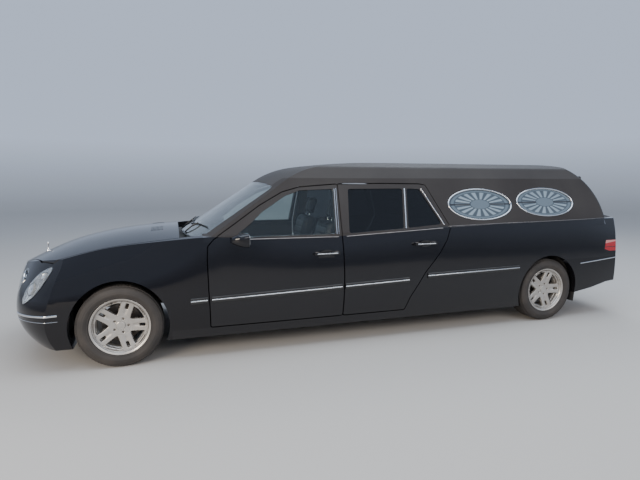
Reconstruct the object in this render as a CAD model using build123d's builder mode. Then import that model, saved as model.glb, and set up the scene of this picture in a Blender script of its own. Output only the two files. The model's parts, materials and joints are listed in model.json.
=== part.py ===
from build123d import *
import math
import os

# A long funeral coach built on an executive saloon: forward is -X, left is -Y, up is +Z.
# Millimetres. Distances called stations are measured back from the front axle.
LENGTH = 6020
FRONT_OVERHANG = 842
WHEELBASE = 4090
ROOF_TOP = 1640
WALL = 64
HOOD_WALL = 34
SHUT_GAP = 9
SEAT_GAP = 0.3
FRONT_AXLE_X = -LENGTH / 2 + FRONT_OVERHANG
REAR_AXLE_X = FRONT_AXLE_X + WHEELBASE

# Wheels
TYRE_RADIUS = 322
TYRE_WIDTH = 225
RIM_SEAT_RADIUS = 203
RIM_FLANGE_RADIUS = 221
RIM_WIDTH = 190
HUB_BORE_RADIUS = 33
TRACK_FRONT = 1559
TRACK_REAR = 1552
ARCH_RADIUS = 365
KINGPIN_Y = 700

# Side shape above the belt
BELT_Z = 960
BELT_HALF = 885
TUMBLEHOME = 0.479
RAIL_Z = 1430
SHOULDER_Z = 1577
SHOULDER_RADIUS = 40
CABIN_FOOT_Z = 990

# Lower body, one row per cross-section
SECTIONS = (
    # station, sill_half, widest_half, crease_half, sill_z, widest_z, crease_z, crown_z
    (-900, 842, 882, 600, 180, 500, 700, 712),
    (-700, 855, 890, 668, 180, 500, 772, 806),
    (-458, 865, 897, 735, 180, 510, 833, 910),
    (-125, 870, 902, 770, 180, 530, 917, 992),
    (239, 872, 905, 812, 180, 540, 962, 1034),
    (625, 874, 907, 872, 180, 550, 994, 1052),
    (1225, 876, 910, 878, 180, 560, 1000, 1060),
    (2900, 876, 910, 878, 180, 570, 1012, 1070),
    (3500, 875, 911, 875, 180, 580, 1027, 1080),
    (4090, 873, 911, 872, 180, 590, 1042, 1090),
    (4700, 860, 900, 855, 180, 600, 1050, 1096),
    (5300, 800, 850, 800, 180, 600, 1054, 1092),
)
# Plan of nose and tail, one row per height
ENDS = (
    # height, nose_station, nose_sweep, corner_length, tail_station
    (150, -690, 70, 330, 5140),
    (430, -850, 66, 400, 5190),
    (600, -840, 85, 450, 5190),
    (820, -768, 150, 620, 5175),
    (1110, -640, 200, 760, 5110),
)
NOSE_ARC_HALF = 520
TAIL_ARC_HALF = 600
TAIL_SWEEP = 40
TAIL_CORNER = 240
PLAN_HALF = 925
# Tail of the cabin, one row per height
TAIL = (
    # height, tail_station, half_width
    (900, 5012, 930),
    (1054, 5010, 858),
    (1236, 4998, 772),
    (1400, 4925, 692),
    (1518, 4800, 640),
    (1600, 4640, 600),
    (1680, 4440, 560),
)
CABIN_CORNER = 230
CABIN_TAIL_SWEEP = 25
CABIN_START = 300
CABIN_END = 5300
SCREEN_AXIS = 2800
SCREEN_LEAN = 0.3
# Side view of the windscreen and the front of the roof, from cowl to crown
SCREEN_FOOT = (330, 868)
SCREEN_HEAD = (1230, 1450)
BROW = (1600, 1584)
CROWN_START = (2350, 1632)


def station(distance):
    """X of a place measured back from the front axle."""
    return FRONT_AXLE_X + distance


def cross_plane(distance):
    """A section plane across the body, with local x to the right side and local y up."""
    return Plane(origin=(station(distance), 0, 0), x_dir=(0, 1, 0), z_dir=(1, 0, 0))


def sunk(point, inset):
    """A side-view point of the windscreen or the roof, moved inwards from the skin."""
    return (station(point[0] + SCREEN_LEAN * inset), point[1] - inset)


def side_half(height):
    """Half width of the cabin side, which leans in above the belt."""
    return BELT_HALF - TUMBLEHOME * (height - BELT_Z)


def skin_y(height):
    """Rough half width of the whole side skin at a height."""
    return min(BELT_HALF + 17, side_half(height)) if height > BELT_Z else BELT_HALF + 17


def lower_form(inset=0):
    """The body below the belt, a loft of cross-sections."""
    with BuildPart() as form:
        for row in SECTIONS:
            place, sill, widest, crease, sill_z, widest_z, crease_z, crown_z = row
            low = (sill - inset, sill_z + inset)
            wide = (widest - inset, widest_z)
            high = (crease - inset, crease_z - inset)
            with BuildSketch(cross_plane(place)):
                with BuildLine():
                    Line((-low[0], low[1]), low)
                    TangentArc(wide, low, tangent=(0, -1))
                    TangentArc(wide, high, tangent=(0, 1))
                    ThreePointArc(high, (0, crown_z - inset), (-high[0], high[1]))
                    TangentArc((-wide[0], wide[1]), (-high[0], high[1]), tangent=(0, 1))
                    TangentArc((-wide[0], wide[1]), (-low[0], low[1]), tangent=(0, -1))
                make_face()
        loft()
    return form.part


def plan_form(inset=0):
    """Nose and tail seen from above, a loft of level outlines."""
    side = PLAN_HALF - inset
    with BuildPart() as form:
        for height, nose, sweep, corner, tail in ENDS:
            front = station(nose + inset)
            back = station(tail - inset)
            with BuildSketch(Plane.XY.offset(height)):
                with BuildLine():
                    nose_arc = ThreePointArc(
                        (front + sweep, -NOSE_ARC_HALF), (front, 0), (front + sweep, NOSE_ARC_HALF)
                    )
                    TangentArc(nose_arc @ 1, (front + corner, side), tangent=nose_arc % 1)
                    TangentArc(nose_arc @ 0, (front + corner, -side), tangent=(nose_arc % 0) * -1)
                    tail_arc = ThreePointArc(
                        (back - TAIL_SWEEP, -TAIL_ARC_HALF), (back, 0), (back - TAIL_SWEEP, TAIL_ARC_HALF)
                    )
                    TangentArc(tail_arc @ 1, (back - TAIL_CORNER, side), tangent=tail_arc % 1)
                    TangentArc(tail_arc @ 0, (back - TAIL_CORNER, -side), tangent=(tail_arc % 0) * -1)
                    Line((front + corner, side), (back - TAIL_CORNER, side))
                    Line((front + corner, -side), (back - TAIL_CORNER, -side))
                make_face()
        loft()
    return form.part


def screen_waste(inset=0):
    """What lies in front of the windscreen, which is turned about an upright axis."""

    axis_x = station(SCREEN_AXIS)
    with BuildPart() as turned:
        with BuildSketch(Plane.XZ):
            with BuildLine():
                glass = Line(sunk(SCREEN_FOOT, inset), sunk(SCREEN_HEAD, inset))
                brow = TangentArc(glass @ 1, sunk(BROW, inset), tangent=glass % 1)
                crown = TangentArc(brow @ 1, sunk(CROWN_START, inset), tangent=brow % 1)
                top = (axis_x, ROOF_TOP + 2 - inset)
                Polyline(crown @ 1, top, (axis_x, SCREEN_FOOT[1] - inset), glass @ 0)
            make_face()
        revolve(axis=Axis((axis_x, 0, 0), (0, 0, 1)))
    with BuildPart() as waste:
        with BuildSketch(Plane.XY.offset(SCREEN_FOOT[1])):
            with Locations(((station(0) + axis_x) / 2, 0)):
                Rectangle(axis_x - station(0), 2200)
        extrude(amount=ROOF_TOP)
        add(turned.part, mode=Mode.SUBTRACT)
    return waste.part


def tail_form(inset=0):
    """The cabin's tail, which leans forward and rounds into the roof and the sides."""
    with BuildPart() as form:
        for height, tail, half in TAIL:
            back = station(tail - inset)
            side = half - inset
            with BuildSketch(Plane.XY.offset(height - inset)):
                with BuildLine():
                    arc = ThreePointArc(
                        (back - CABIN_TAIL_SWEEP, CABIN_CORNER - side),
                        (back, 0),
                        (back - CABIN_TAIL_SWEEP, side - CABIN_CORNER),
                    )
                    TangentArc(arc @ 1, (back - CABIN_CORNER, side), tangent=arc % 1)
                    TangentArc(arc @ 0, (back - CABIN_CORNER, -side), tangent=(arc % 0) * -1)
                    Polyline(
                        (back - CABIN_CORNER, side),
                        (station(0), side),
                        (station(0), -side),
                        (back - CABIN_CORNER, -side),
                    )
                make_face()
        loft()
    return form.part


def cabin_form(inset=0):
    """The cabin above the belt: one cross-section, cut by windscreen and tail."""
    across = inset * math.hypot(1, TUMBLEHOME)
    foot_z = CABIN_FOOT_Z - inset
    foot = (side_half(foot_z) - across, foot_z)
    shoulder_z = SHOULDER_Z - inset
    shoulder = (side_half(shoulder_z) - across, shoulder_z)
    with BuildPart() as form:
        with BuildSketch(cross_plane(CABIN_START)) as section:
            with BuildLine():
                ThreePointArc((-shoulder[0], shoulder[1]), (0, ROOF_TOP - inset), shoulder)
                Polyline(shoulder, foot, (-foot[0], foot[1]), (-shoulder[0], shoulder[1]))
            make_face()
            fillet(section.vertices().group_by(Axis.Y)[-1], SHOULDER_RADIUS)
        extrude(amount=CABIN_END - CABIN_START)
        add(screen_waste(inset), mode=Mode.SUBTRACT)
        add(tail_form(inset), mode=Mode.INTERSECT)
    return form.part


def body_form(inset=0):
    """Everything inside the body's skin, or inside a parallel skin further in."""
    with BuildPart() as form:
        add(lower_form(inset))
        add(plan_form(inset), mode=Mode.INTERSECT)
        add(cabin_form(inset))
    return form.part


# Panels that are cut from the skins, as seen from the side: (station, height)
SHARP_TURN = 35
SLANT = 0.364
SIDE_REF = BELT_HALF + 20
SIDE_DEPTH = 420
DOOR_CORNER = 14
SILL_TOP = 254
DOOR_FRONT = (
    (690, 262), (674, 571), (673, 799), (684, 920), (724, 974), (905, 1090), (1120, 1233),
    (1330, 1345), (1495, 1388), (1845, 1413), (1819, 975), (1826, 262),
)
DOOR_REAR = (
    (1837, 262), (1830, 975), (1856, 1413), (2274, 1418), (2683, 1413), (2746, 1402),
    (2911, 1030), (2900, 1001), (2872, 898), (2791, 778), (2637, 606), (2488, 379), (2440, 262),
)
GLASS_FRONT = ((879, 985), (1026, 1088), (1136, 1183), (1351, 1314), (1492, 1362), (1800, 1373), (1765, 985))
GLASS_REAR = ((1893, 985), (1944, 1372), (2495, 1374), (2432, 1012))
GLASS_QUARTER = ((2478, 1014), (2540, 1374), (2672, 1368), (2840, 1040))
PANE_INSET = 5
PANE = 5
OVALS = (
    # station, height, half_length, half_height
    (3322, 1216, 358, 142),
    (4123, 1229, 351, 135),
)


def leaned(point):
    """A side-view point of the skin, moved to the reference plane of the slanted shut faces."""
    place, height = point
    return (station(place) + SLANT * (SIDE_REF - skin_y(height)), height)


def round_corners(shape, radius):
    """Rounds the corners at which a sketched outline turns sharply; gentle ones stay as they are."""
    sharp = []
    for corner in shape.vertices():
        before, after = [
            edge.tangent_at(0 if (edge @ 0 - corner.center()).length < 0.01 else 1)
            * (1 if (edge @ 0 - corner.center()).length < 0.01 else -1)
            for edge in shape.edges()
            if min((edge @ 0 - corner.center()).length, (edge @ 1 - corner.center()).length) < 0.01
        ]
        if before.get_angle(after) < 180 - SHARP_TURN:
            sharp.append(corner)
    fillet(sharp, radius)


def shut_prism(outline, spread=0):
    """A left panel's outline drawn through the side, its shut faces slanting forward inwards."""
    with BuildPart() as prism:
        with BuildSketch(Plane.XZ.offset(SIDE_REF)) as shape:
            Polygon(*[leaned(point) for point in outline], align=None)
            round_corners(shape, DOOR_CORNER)
            if spread:
                offset(amount=spread, kind=Kind.INTERSECTION)
        extrude(amount=SIDE_DEPTH, dir=(-SLANT, 1, 0), both=True)
    return prism.part


def side_prism(outline, spread=0, corner=0, near=1000, far=300):
    """A side-view outline drawn straight through the left side."""
    with BuildPart() as prism:
        with BuildSketch(Plane.XZ.offset(far)) as shape:
            Polygon(*[(station(place), height) for place, height in outline], align=None)
            if corner:
                round_corners(shape, corner)
            if spread:
                offset(amount=spread, kind=Kind.INTERSECTION)
        extrude(amount=near - far)
    return prism.part


def front_prism(outline, start, end, corner=0, spread=0):
    """A front-view outline of (y, height) drawn along the car between two stations."""
    with BuildPart() as prism:
        with BuildSketch(cross_plane(start)) as shape:
            Polygon(*outline, align=None)
            if corner:
                round_corners(shape, corner)
            if spread:
                offset(amount=spread, kind=Kind.INTERSECTION)
        extrude(amount=end - start)
    return prism.part


def plan_prism(outline, low, high, corner=0, spread=0):
    """A plan outline of (station, y) drawn upwards between two heights."""
    with BuildPart() as prism:
        with BuildSketch(Plane.XY.offset(low)) as shape:
            Polygon(*[(station(place), side) for place, side in outline], align=None)
            if corner:
                round_corners(shape, corner)
            if spread:
                offset(amount=spread, kind=Kind.INTERSECTION)
        extrude(amount=high - low)
    return prism.part


outer = body_form()
inner = body_form(WALL)
with BuildPart() as shell:
    add(outer)
    add(inner, mode=Mode.SUBTRACT)
with BuildPart() as thin_shell:
    add(lower_form())
    add(plan_form(), mode=Mode.INTERSECT)
    with BuildPart(mode=Mode.PRIVATE) as hollow:
        add(lower_form(HOOD_WALL))
        add(plan_form(HOOD_WALL), mode=Mode.INTERSECT)
    add(hollow.part, mode=Mode.SUBTRACT)
with BuildPart() as panes:
    add(cabin_form(PANE_INSET))
    add(cabin_form(PANE_INSET + PANE), mode=Mode.SUBTRACT)

# Doors
HINGE_Y = 880
HINGE_BACK = 60
HINGE_HEIGHTS = (400, 790)
SLEEVE_RADIUS = 12
PIN_RADIUS = 7
PIN_GAP = 0.3
SLEEVE_HALF = 15
LUG_GAP = 1
LUG_HEIGHT = 8
NOTCH_HALF = SLEEVE_HALF + LUG_GAP + LUG_HEIGHT + 7
NOTCH_SKIN = 14
POST_FACE = 762
POST_DEPTH = 46


def hinge_sleeve(plane, web):
    """The moving half of a hinge: a bored sleeve and its web, towards the plane's x."""
    with BuildPart() as sleeve:
        with BuildSketch(plane.offset(-SLEEVE_HALF)):
            Circle(SLEEVE_RADIUS)
            with Locations((web / 2, 0)):
                Rectangle(web, 2 * SLEEVE_RADIUS * 0.7)
            Circle(PIN_RADIUS + PIN_GAP, mode=Mode.SUBTRACT)
        extrude(amount=2 * SLEEVE_HALF)
    return sleeve.part


def hinge_fork(plane, arm):
    """The fixed half: two lugs and the pin between them, on arms along the plane's x."""
    reach = SLEEVE_HALF + LUG_GAP
    with BuildPart() as fork:
        for low in (reach, -reach - LUG_HEIGHT):
            with BuildSketch(plane.offset(low)):
                Circle(SLEEVE_RADIUS)
                with Locations((arm / 2, 0)):
                    Rectangle(arm, 2 * SLEEVE_RADIUS)
            extrude(amount=LUG_HEIGHT)
        with BuildSketch(plane.offset(-reach)):
            Circle(PIN_RADIUS)
        extrude(amount=2 * reach)
    return fork.part


def hinge_plane(lead, height, x_dir):
    return Plane(origin=(station(lead + HINGE_BACK), -HINGE_Y, height), x_dir=x_dir, z_dir=(0, 0, 1))


HANDLE_STANDOFF = 22
with BuildPart() as side_wall_zone:
    with BuildSketch(cross_plane(0)):
        depth = WALL * math.hypot(1, TUMBLEHOME) + 1
        Polygon(
            (-1000, 150), (-700, 150), (-700, 900), (depth - side_half(BELT_Z), BELT_Z),
            (depth - side_half(RAIL_Z), RAIL_Z), (-1000, RAIL_Z), align=None,
        )
    extrude(amount=CABIN_END)


def door(outline, windows, lead, handle, extra=None):
    """A left door: a slab of the skin with its windows, hinge pockets, sleeves and handle."""
    hinge_x = station(lead + HINGE_BACK)
    with BuildPart() as slab:
        add(shell.part)
        add(shut_prism(outline), mode=Mode.INTERSECT)
        add(side_wall_zone.part, mode=Mode.INTERSECT)
        for window in windows:
            add(side_prism(window, corner=20), mode=Mode.SUBTRACT)
        for height in HINGE_HEIGHTS:
            with BuildSketch(Plane.XY.offset(height - NOTCH_HALF)):
                with Locations((hinge_x - 60, -HINGE_Y + 90 - NOTCH_SKIN)):
                    Rectangle(160, 180)
            extrude(amount=2 * NOTCH_HALF, mode=Mode.SUBTRACT)
            add(hinge_sleeve(hinge_plane(lead, height, (1, 0, 0)), 30))
        start, end, low, high = handle
        middle = ((station(start) + station(end)) / 2, (low + high) / 2)
        length = end - start
        with BuildSketch(Plane.XZ.offset(HINGE_Y)):
            with Locations(middle):
                SlotOverall(length, 26)
        extrude(amount=HANDLE_STANDOFF + 34)
        with BuildSketch(Plane.XY.offset(middle[1] - 40)):
            with Locations((middle[0], -HINGE_Y - 31)):
                SlotOverall(length - 70, 24)
        extrude(amount=80, mode=Mode.SUBTRACT)
        if extra:
            add(extra)
    return slab.part


# Door mirrors stand on a foot at the front corner of the window
MIRROR_CENTRE = (930, -958, 972)
with BuildPart() as mirror_head:
    with BuildSketch(Plane(origin=(station(MIRROR_CENTRE[0]) + 58, MIRROR_CENTRE[1], MIRROR_CENTRE[2]),
                           x_dir=(0, 1, 0), z_dir=(1, 0, 0))):
        RectangleRounded(130, 112, 36)
    with BuildSketch(Plane(origin=(station(MIRROR_CENTRE[0]) - 20, MIRROR_CENTRE[1], MIRROR_CENTRE[2]),
                           x_dir=(0, 1, 0), z_dir=(1, 0, 0))):
        RectangleRounded(118, 92, 36)
    with BuildSketch(Plane(origin=(station(MIRROR_CENTRE[0]) - 72, MIRROR_CENTRE[1] + 10, MIRROR_CENTRE[2]),
                           x_dir=(0, 1, 0), z_dir=(1, 0, 0))):
        RectangleRounded(70, 46, 18)
    loft()
    with BuildSketch(Plane.XY.offset(932)):
        with Locations((station(MIRROR_CENTRE[0]) - 10, -898)):
            SlotOverall(90, 44)
    extrude(amount=34)

door_specs = (
    ("front", DOOR_FRONT, (GLASS_FRONT,), 673, (1556, 1786, 809, 841), mirror_head.part),
    ("rear", DOOR_REAR, (GLASS_REAR, GLASS_QUARTER), 1834, (2516, 2746, 857, 885), None),
)
made = {}
for name, outline, windows, lead, handle, extra in door_specs:
    made[f"door_{name}_left"] = door(outline, windows, lead, handle, extra)
    with BuildPart() as glass:
        add(panes.part)
        with BuildPart(mode=Mode.PRIVATE) as cut:
            for window in windows:
                add(side_prism(window, spread=-SEAT_GAP, corner=20))
        add(cut.part, mode=Mode.INTERSECT)
    made[f"glass_{name}_left"] = glass.part

# Body sides: sill, pillars, roof rail and rear quarter in one pressing
ARCH_Z = TYRE_RADIUS
BUMPER_TOP = 555
TAIL_BUMPER_TOP = 640
ROOF_SPLIT = 1470
HEADER_HALF = 560
FENDER_TOP = 955
FENDER_END = 640
LID_HALF = 540
TAIL_START = 4262
TAIL_UNDERSIDE = ((TAIL_START, 245), (4434, 271), (4678, 309), (4899, 361), (5400, 396))


def arch(place, radius=ARCH_RADIUS, near=-1000, far=1000):
    """A round through both sides of the car about a wheel's centre."""
    with BuildPart() as round_cut:
        with BuildSketch(Plane.XZ.offset(-far)):
            with Locations((station(place), ARCH_Z)):
                Circle(radius)
        extrude(amount=far - near)
    return round_cut.part


# Tailgate, hinged at the top on an axis just inside the skin
LID_HINGE = (4745, 1478)
LID_ARC = 84


def lid_region(spread):
    """The tailgate's own space, or its opening where spread is the shut gap."""
    half = LID_HALF + spread
    with BuildPart() as region:
        with BuildSketch(Plane.XZ.offset(-1000)) as shape:
            hx, hz = station(LID_HINGE[0]), LID_HINGE[1]
            radius = LID_ARC + spread
            with Locations((hx, hz)):
                Circle(radius)
            low = TAIL_BUMPER_TOP + SHUT_GAP - spread
            Polygon((hx, hz - radius), (hx, hz + radius), (hx + 700, hz + radius), (hx + 700, low),
                    (station(4920) - spread, low), (station(4860) - spread, 1180), align=None)
        extrude(amount=2000)
        with BuildSketch(cross_plane(4300)):
            Rectangle(2 * half, 3600)
        extrude(amount=1200, mode=Mode.INTERSECT)
    return region.part


def trunnion_plane(x, y, z):
    """A plane whose z points to the right along a crosswise hinge axis."""
    return Plane(origin=(x, y, z), x_dir=(1, 0, 0), z_dir=(0, 1, 0))


def rod(plane, radius, start, end):
    """A round bar along a plane's axis."""
    with BuildPart() as bar:
        with BuildSketch(plane.offset(start)):
            Circle(radius)
        extrude(amount=end - start)
    return bar.part


def upright_rod(x, y, radius, low, high):
    """A round bar standing between two heights."""
    with BuildPart() as bar:
        with BuildSketch(Plane.XY.offset(low)):
            with Locations((x, y)):
                Circle(radius)
        extrude(amount=high - low)
    return bar.part


JACKING_STATIONS = (620, 3400)
JACKING_Y = 760
JACKING_RADIUS = 34
JACKING_Z = 168
SILL_Z = 180
LUG_RADIUS = 18
LID_BOSS_RADIUS = 22
LUG_WIDTH = 34
PIN_REACH = 30
lid_opening = lid_region(SHUT_GAP)
lid_axis = trunnion_plane(station(LID_HINGE[0]), 0, LID_HINGE[1])
with BuildPart() as tailgate:
    add(shell.part)
    add(lid_region(0), mode=Mode.INTERSECT)
    for side in (-1, 1):
        inboard = side * (LID_HALF - LUG_WIDTH - 10)
        add(rod(lid_axis, LUG_RADIUS, inboard, side * (LID_HALF - 10)))
        add(rod(lid_axis, PIN_RADIUS, inboard, side * (LID_HALF + SHUT_GAP + PIN_REACH)))
    rear_window = ((470, 1120), (390, 1380), (-390, 1380), (-470, 1120))
    add(front_prism(rear_window, 4700, 5300, corner=40), mode=Mode.SUBTRACT)
made["tailgate"] = tailgate.part
with BuildPart() as lid_glass:
    add(panes.part)
    add(front_prism(rear_window, 4700, 5300, corner=40, spread=-SEAT_GAP), mode=Mode.INTERSECT)
made["glass_tailgate"] = lid_glass.part

oval_openings = []
for place, height, half_length, half_height in OVALS:
    with BuildPart() as oval_cut:
        with BuildSketch(Plane.XZ.offset(500)):
            with Locations((station(place), height)):
                Ellipse(half_length, half_height)
        extrude(amount=450)
    oval_openings.append(oval_cut.part)
with BuildPart() as oval_glass:
    add(panes.part)
    with BuildPart(mode=Mode.PRIVATE) as cut:
        for place, height, half_length, half_height in OVALS:
            with BuildSketch(Plane.XZ.offset(500)):
                with Locations((station(place), height)):
                    Ellipse(half_length - SEAT_GAP, half_height - SEAT_GAP)
        extrude(amount=450)
    add(cut.part, mode=Mode.INTERSECT)
    mirror(about=Plane.XZ)
made["oval_windows"] = oval_glass.part

screen_half = ((748, 972), (742, 1000), (628, 1378), (598, 1398), (400, 1424), (150, 1436))
SCREEN = screen_half + tuple((-y, z) for y, z in reversed(screen_half))
SCREEN_GLASS = 6
screen_opening = front_prism(SCREEN, 250, 1600)
with BuildPart() as windshield:
    with BuildSketch(Plane.XZ):
        with BuildLine():
            outside = Line(sunk(SCREEN_FOOT, 1), sunk(SCREEN_HEAD, 1))
            inside = Line(sunk(SCREEN_FOOT, 1 + SCREEN_GLASS), sunk(SCREEN_HEAD, 1 + SCREEN_GLASS))
            Line(outside @ 0, inside @ 0)
            Line(outside @ 1, inside @ 1)
        make_face()
    revolve(axis=Axis((station(SCREEN_AXIS), 0, 0), (0, 0, 1)))
    add(front_prism(SCREEN, 250, 1600, spread=-SEAT_GAP), mode=Mode.INTERSECT)
made["windshield"] = windshield.part

# Posts inboard of the doors' front edges carry their hinges
POST_FOOT = 200
POSTS = (
    # leading_station, front_station, back_station
    (673, 645, 760),
    (1834, 1822, 1926),
)
with BuildPart() as posts:
    front_lead, front_start, front_end = POSTS[0]
    with BuildSketch(cross_plane(front_start)):
        Polygon((-POST_FACE, POST_FOOT), (-POST_FACE, 922), (POST_DEPTH - POST_FACE, 922),
                (POST_DEPTH - POST_FACE, POST_FOOT), align=None)
    extrude(amount=front_end - front_start)
    with BuildSketch(cross_plane(front_start - 3)):
        Polygon((-POST_FACE, 900), (-POST_FACE, 968), (POST_DEPTH - POST_FACE, 968),
                (POST_DEPTH - POST_FACE, 900), align=None)
        Polygon((-840, FENDER_TOP), (-840, 985), (-756, 985), (-756, FENDER_TOP), align=None)
    extrude(amount=18)
    rear_lead, rear_start, rear_end = POSTS[1]
    with BuildSketch(cross_plane(rear_start)):
        Polygon(
            (-POST_FACE, POST_FOOT), (-POST_FACE, 905), (-588, 1388), (-588, 1430), (-625, 1432), (-625, 1465),
            (-540, 1465), (-540, 1385), (POST_DEPTH - POST_FACE, 885), (POST_DEPTH - POST_FACE, POST_FOOT),
            align=None,
        )
    extrude(amount=rear_end - rear_start)
    for lead in (front_lead, rear_lead):
        for height in HINGE_HEIGHTS:
            add(hinge_fork(hinge_plane(lead, height, (0, 1, 0)), HINGE_Y - POST_FACE + 10))

body_side_outline = (
    (380, 150), (380, SILL_TOP), (700, SILL_TOP), (760, FENDER_TOP), (FENDER_END, FENDER_TOP),
    (FENDER_END, 1010), (500, 1010), (500, ROOF_SPLIT), (5400, ROOF_SPLIT), (5400, TAIL_BUMPER_TOP),
    (TAIL_START, TAIL_BUMPER_TOP), (TAIL_START, 150),
)
with BuildPart() as body_side:
    add(shell.part)
    add(side_prism(body_side_outline, far=100), mode=Mode.INTERSECT)
    with BuildSketch(cross_plane(0)):
        Polygon((-1000, 100), (-620, 100), (-620, 600), (-HEADER_HALF, 800), (-HEADER_HALF, ROOF_SPLIT),
                (-1000, ROOF_SPLIT), align=None)
    extrude(amount=5400, mode=Mode.INTERSECT)
    for outline in (DOOR_FRONT, DOOR_REAR):
        add(shut_prism(outline, SHUT_GAP), mode=Mode.SUBTRACT)
    add(arch(0), mode=Mode.SUBTRACT)
    add(arch(WHEELBASE), mode=Mode.SUBTRACT)
    add(lid_opening, mode=Mode.SUBTRACT)
    add(screen_opening, mode=Mode.SUBTRACT)
    for opening in oval_openings:
        add(opening, mode=Mode.SUBTRACT)
    add(posts.part)
    lug_start = -LID_HALF - SHUT_GAP
    add(rod(lid_axis, LID_BOSS_RADIUS + SEAT_GAP, lug_start, lug_start - LUG_WIDTH - SEAT_GAP),
        mode=Mode.SUBTRACT)
    for place in JACKING_STATIONS:
        add(upright_rod(station(place), -JACKING_Y, JACKING_RADIUS, JACKING_Z, SILL_Z + 20))
made["body_side_left"] = body_side.part

with BuildPart() as roof:
    add(shell.part)
    with BuildSketch(cross_plane(500)):
        Polygon((-1000, ROOF_SPLIT), (-HEADER_HALF, ROOF_SPLIT), (-HEADER_HALF, 1300), (HEADER_HALF, 1300),
                (HEADER_HALF, ROOF_SPLIT), (1000, ROOF_SPLIT), (1000, 1800), (-1000, 1800), align=None)
    extrude(amount=5000, mode=Mode.INTERSECT)
    add(lid_opening, mode=Mode.SUBTRACT)
    add(screen_opening, mode=Mode.SUBTRACT)
    for side in (-1, 1):
        near = side * (LID_HALF + SHUT_GAP)
        add(rod(lid_axis, LID_BOSS_RADIUS, near, near + side * LUG_WIDTH))
        add(rod(lid_axis, PIN_RADIUS + PIN_GAP, near - side * 5, near + side * (LUG_WIDTH + 5)),
            mode=Mode.SUBTRACT)
made["roof"] = roof.part

# Hood, grille, fenders and bumpers
HOOD_HINGE = (440, 968)
HOOD_PIN_Y = 770
HOOD_PIN_END = 825
hood_half = (
    (-900, 318), (-700, 330), (-640, 430), (-560, 600), (-458, 712), (-125, 752), (239, 778), (462, 796),
)
HOOD = tuple((x, -y) for x, y in hood_half) + tuple((x, y) for x, y in reversed(hood_half))
NOSE_LIP = 762
hood_rise = ((-1000, NOSE_LIP), (-600, NOSE_LIP), (-520, 700), (600, 700), (600, 1200), (-1000, 1200))


def both_sides(outline, spread=0):
    with BuildPart() as prism:
        with BuildSketch(Plane.XZ.offset(-1000)) as shape:
            Polygon(*[(station(place), height) for place, height in outline], align=None)
            if spread:
                offset(amount=spread, kind=Kind.INTERSECTION)
        extrude(amount=2000)
    return prism.part


def hood_region(spread=0):
    with BuildPart() as region:
        add(plan_prism(HOOD, 500, 1200, spread=spread))
        add(both_sides(hood_rise, spread), mode=Mode.INTERSECT)
    return region.part


hood_axis = trunnion_plane(station(HOOD_HINGE[0]), 0, HOOD_HINGE[1])
with BuildPart() as hood:
    add(thin_shell.part)
    add(hood_region(), mode=Mode.INTERSECT)
    for side in (-1, 1):
        add(rod(hood_axis, LUG_RADIUS, side * (HOOD_PIN_Y - LUG_WIDTH), side * HOOD_PIN_Y))
        add(rod(hood_axis, PIN_RADIUS, side * (HOOD_PIN_Y - LUG_WIDTH), side * HOOD_PIN_END))
made["hood"] = hood.part

grille_outline = (
    (-292, NOSE_LIP), (-300, 700), (-262, 470), (-240, 420),
    (240, 420), (262, 470), (300, 700), (292, NOSE_LIP),
)
GRILLE_START = -950
GRILLE_DEPTH = 40
SLATS = 5
SLAT_LOW = 442
SLAT_WIDTH = 14
CENTRE_BAR = 26
with BuildPart() as grille:
    add(outer)
    with BuildPart(mode=Mode.PRIVATE) as behind:
        add(plan_form(GRILLE_DEPTH))
    add(behind.part, mode=Mode.SUBTRACT)
    add(front_prism(grille_outline, GRILLE_START, -300), mode=Mode.INTERSECT)
    pitch = (NOSE_LIP - SLAT_LOW + 2) / (SLATS + 1)
    with BuildPart(mode=Mode.PRIVATE) as gaps:
        with BuildSketch(cross_plane(GRILLE_START)):
            Polygon((-270, NOSE_LIP - 26), (-276, 700), (-238, 480), (-222, SLAT_LOW),
                    (222, SLAT_LOW), (238, 480), (276, 700), (270, NOSE_LIP - 26), align=None)
            for k in range(SLATS):
                with Locations((0, SLAT_LOW + pitch * (k + 1))):
                    Rectangle(700, SLAT_WIDTH, mode=Mode.SUBTRACT)
            Rectangle(CENTRE_BAR, 2000, mode=Mode.SUBTRACT)
        extrude(amount=650)
    add(gaps.part, mode=Mode.SUBTRACT)
made["grille"] = grille.part

LAMPS = (
    # y, height, half_width, half_height
    (-470, 655, 100, 98),
    (-632, 662, 108, 104),
)
with BuildPart() as lamp_zone:
    with BuildSketch(cross_plane(-950)):
        for y, height, half_width, half_height in LAMPS:
            with Locations((y, height)):
                Ellipse(half_width, half_height)
    extrude(amount=700)
with BuildPart() as lamps:
    add(outer)
    with BuildPart(mode=Mode.PRIVATE) as behind:
        add(body_form(WALL - 10))
    add(behind.part, mode=Mode.SUBTRACT)
    add(lamp_zone.part, mode=Mode.INTERSECT)
    mirror(about=Plane.XZ)
made["headlamps"] = lamps.part

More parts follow.
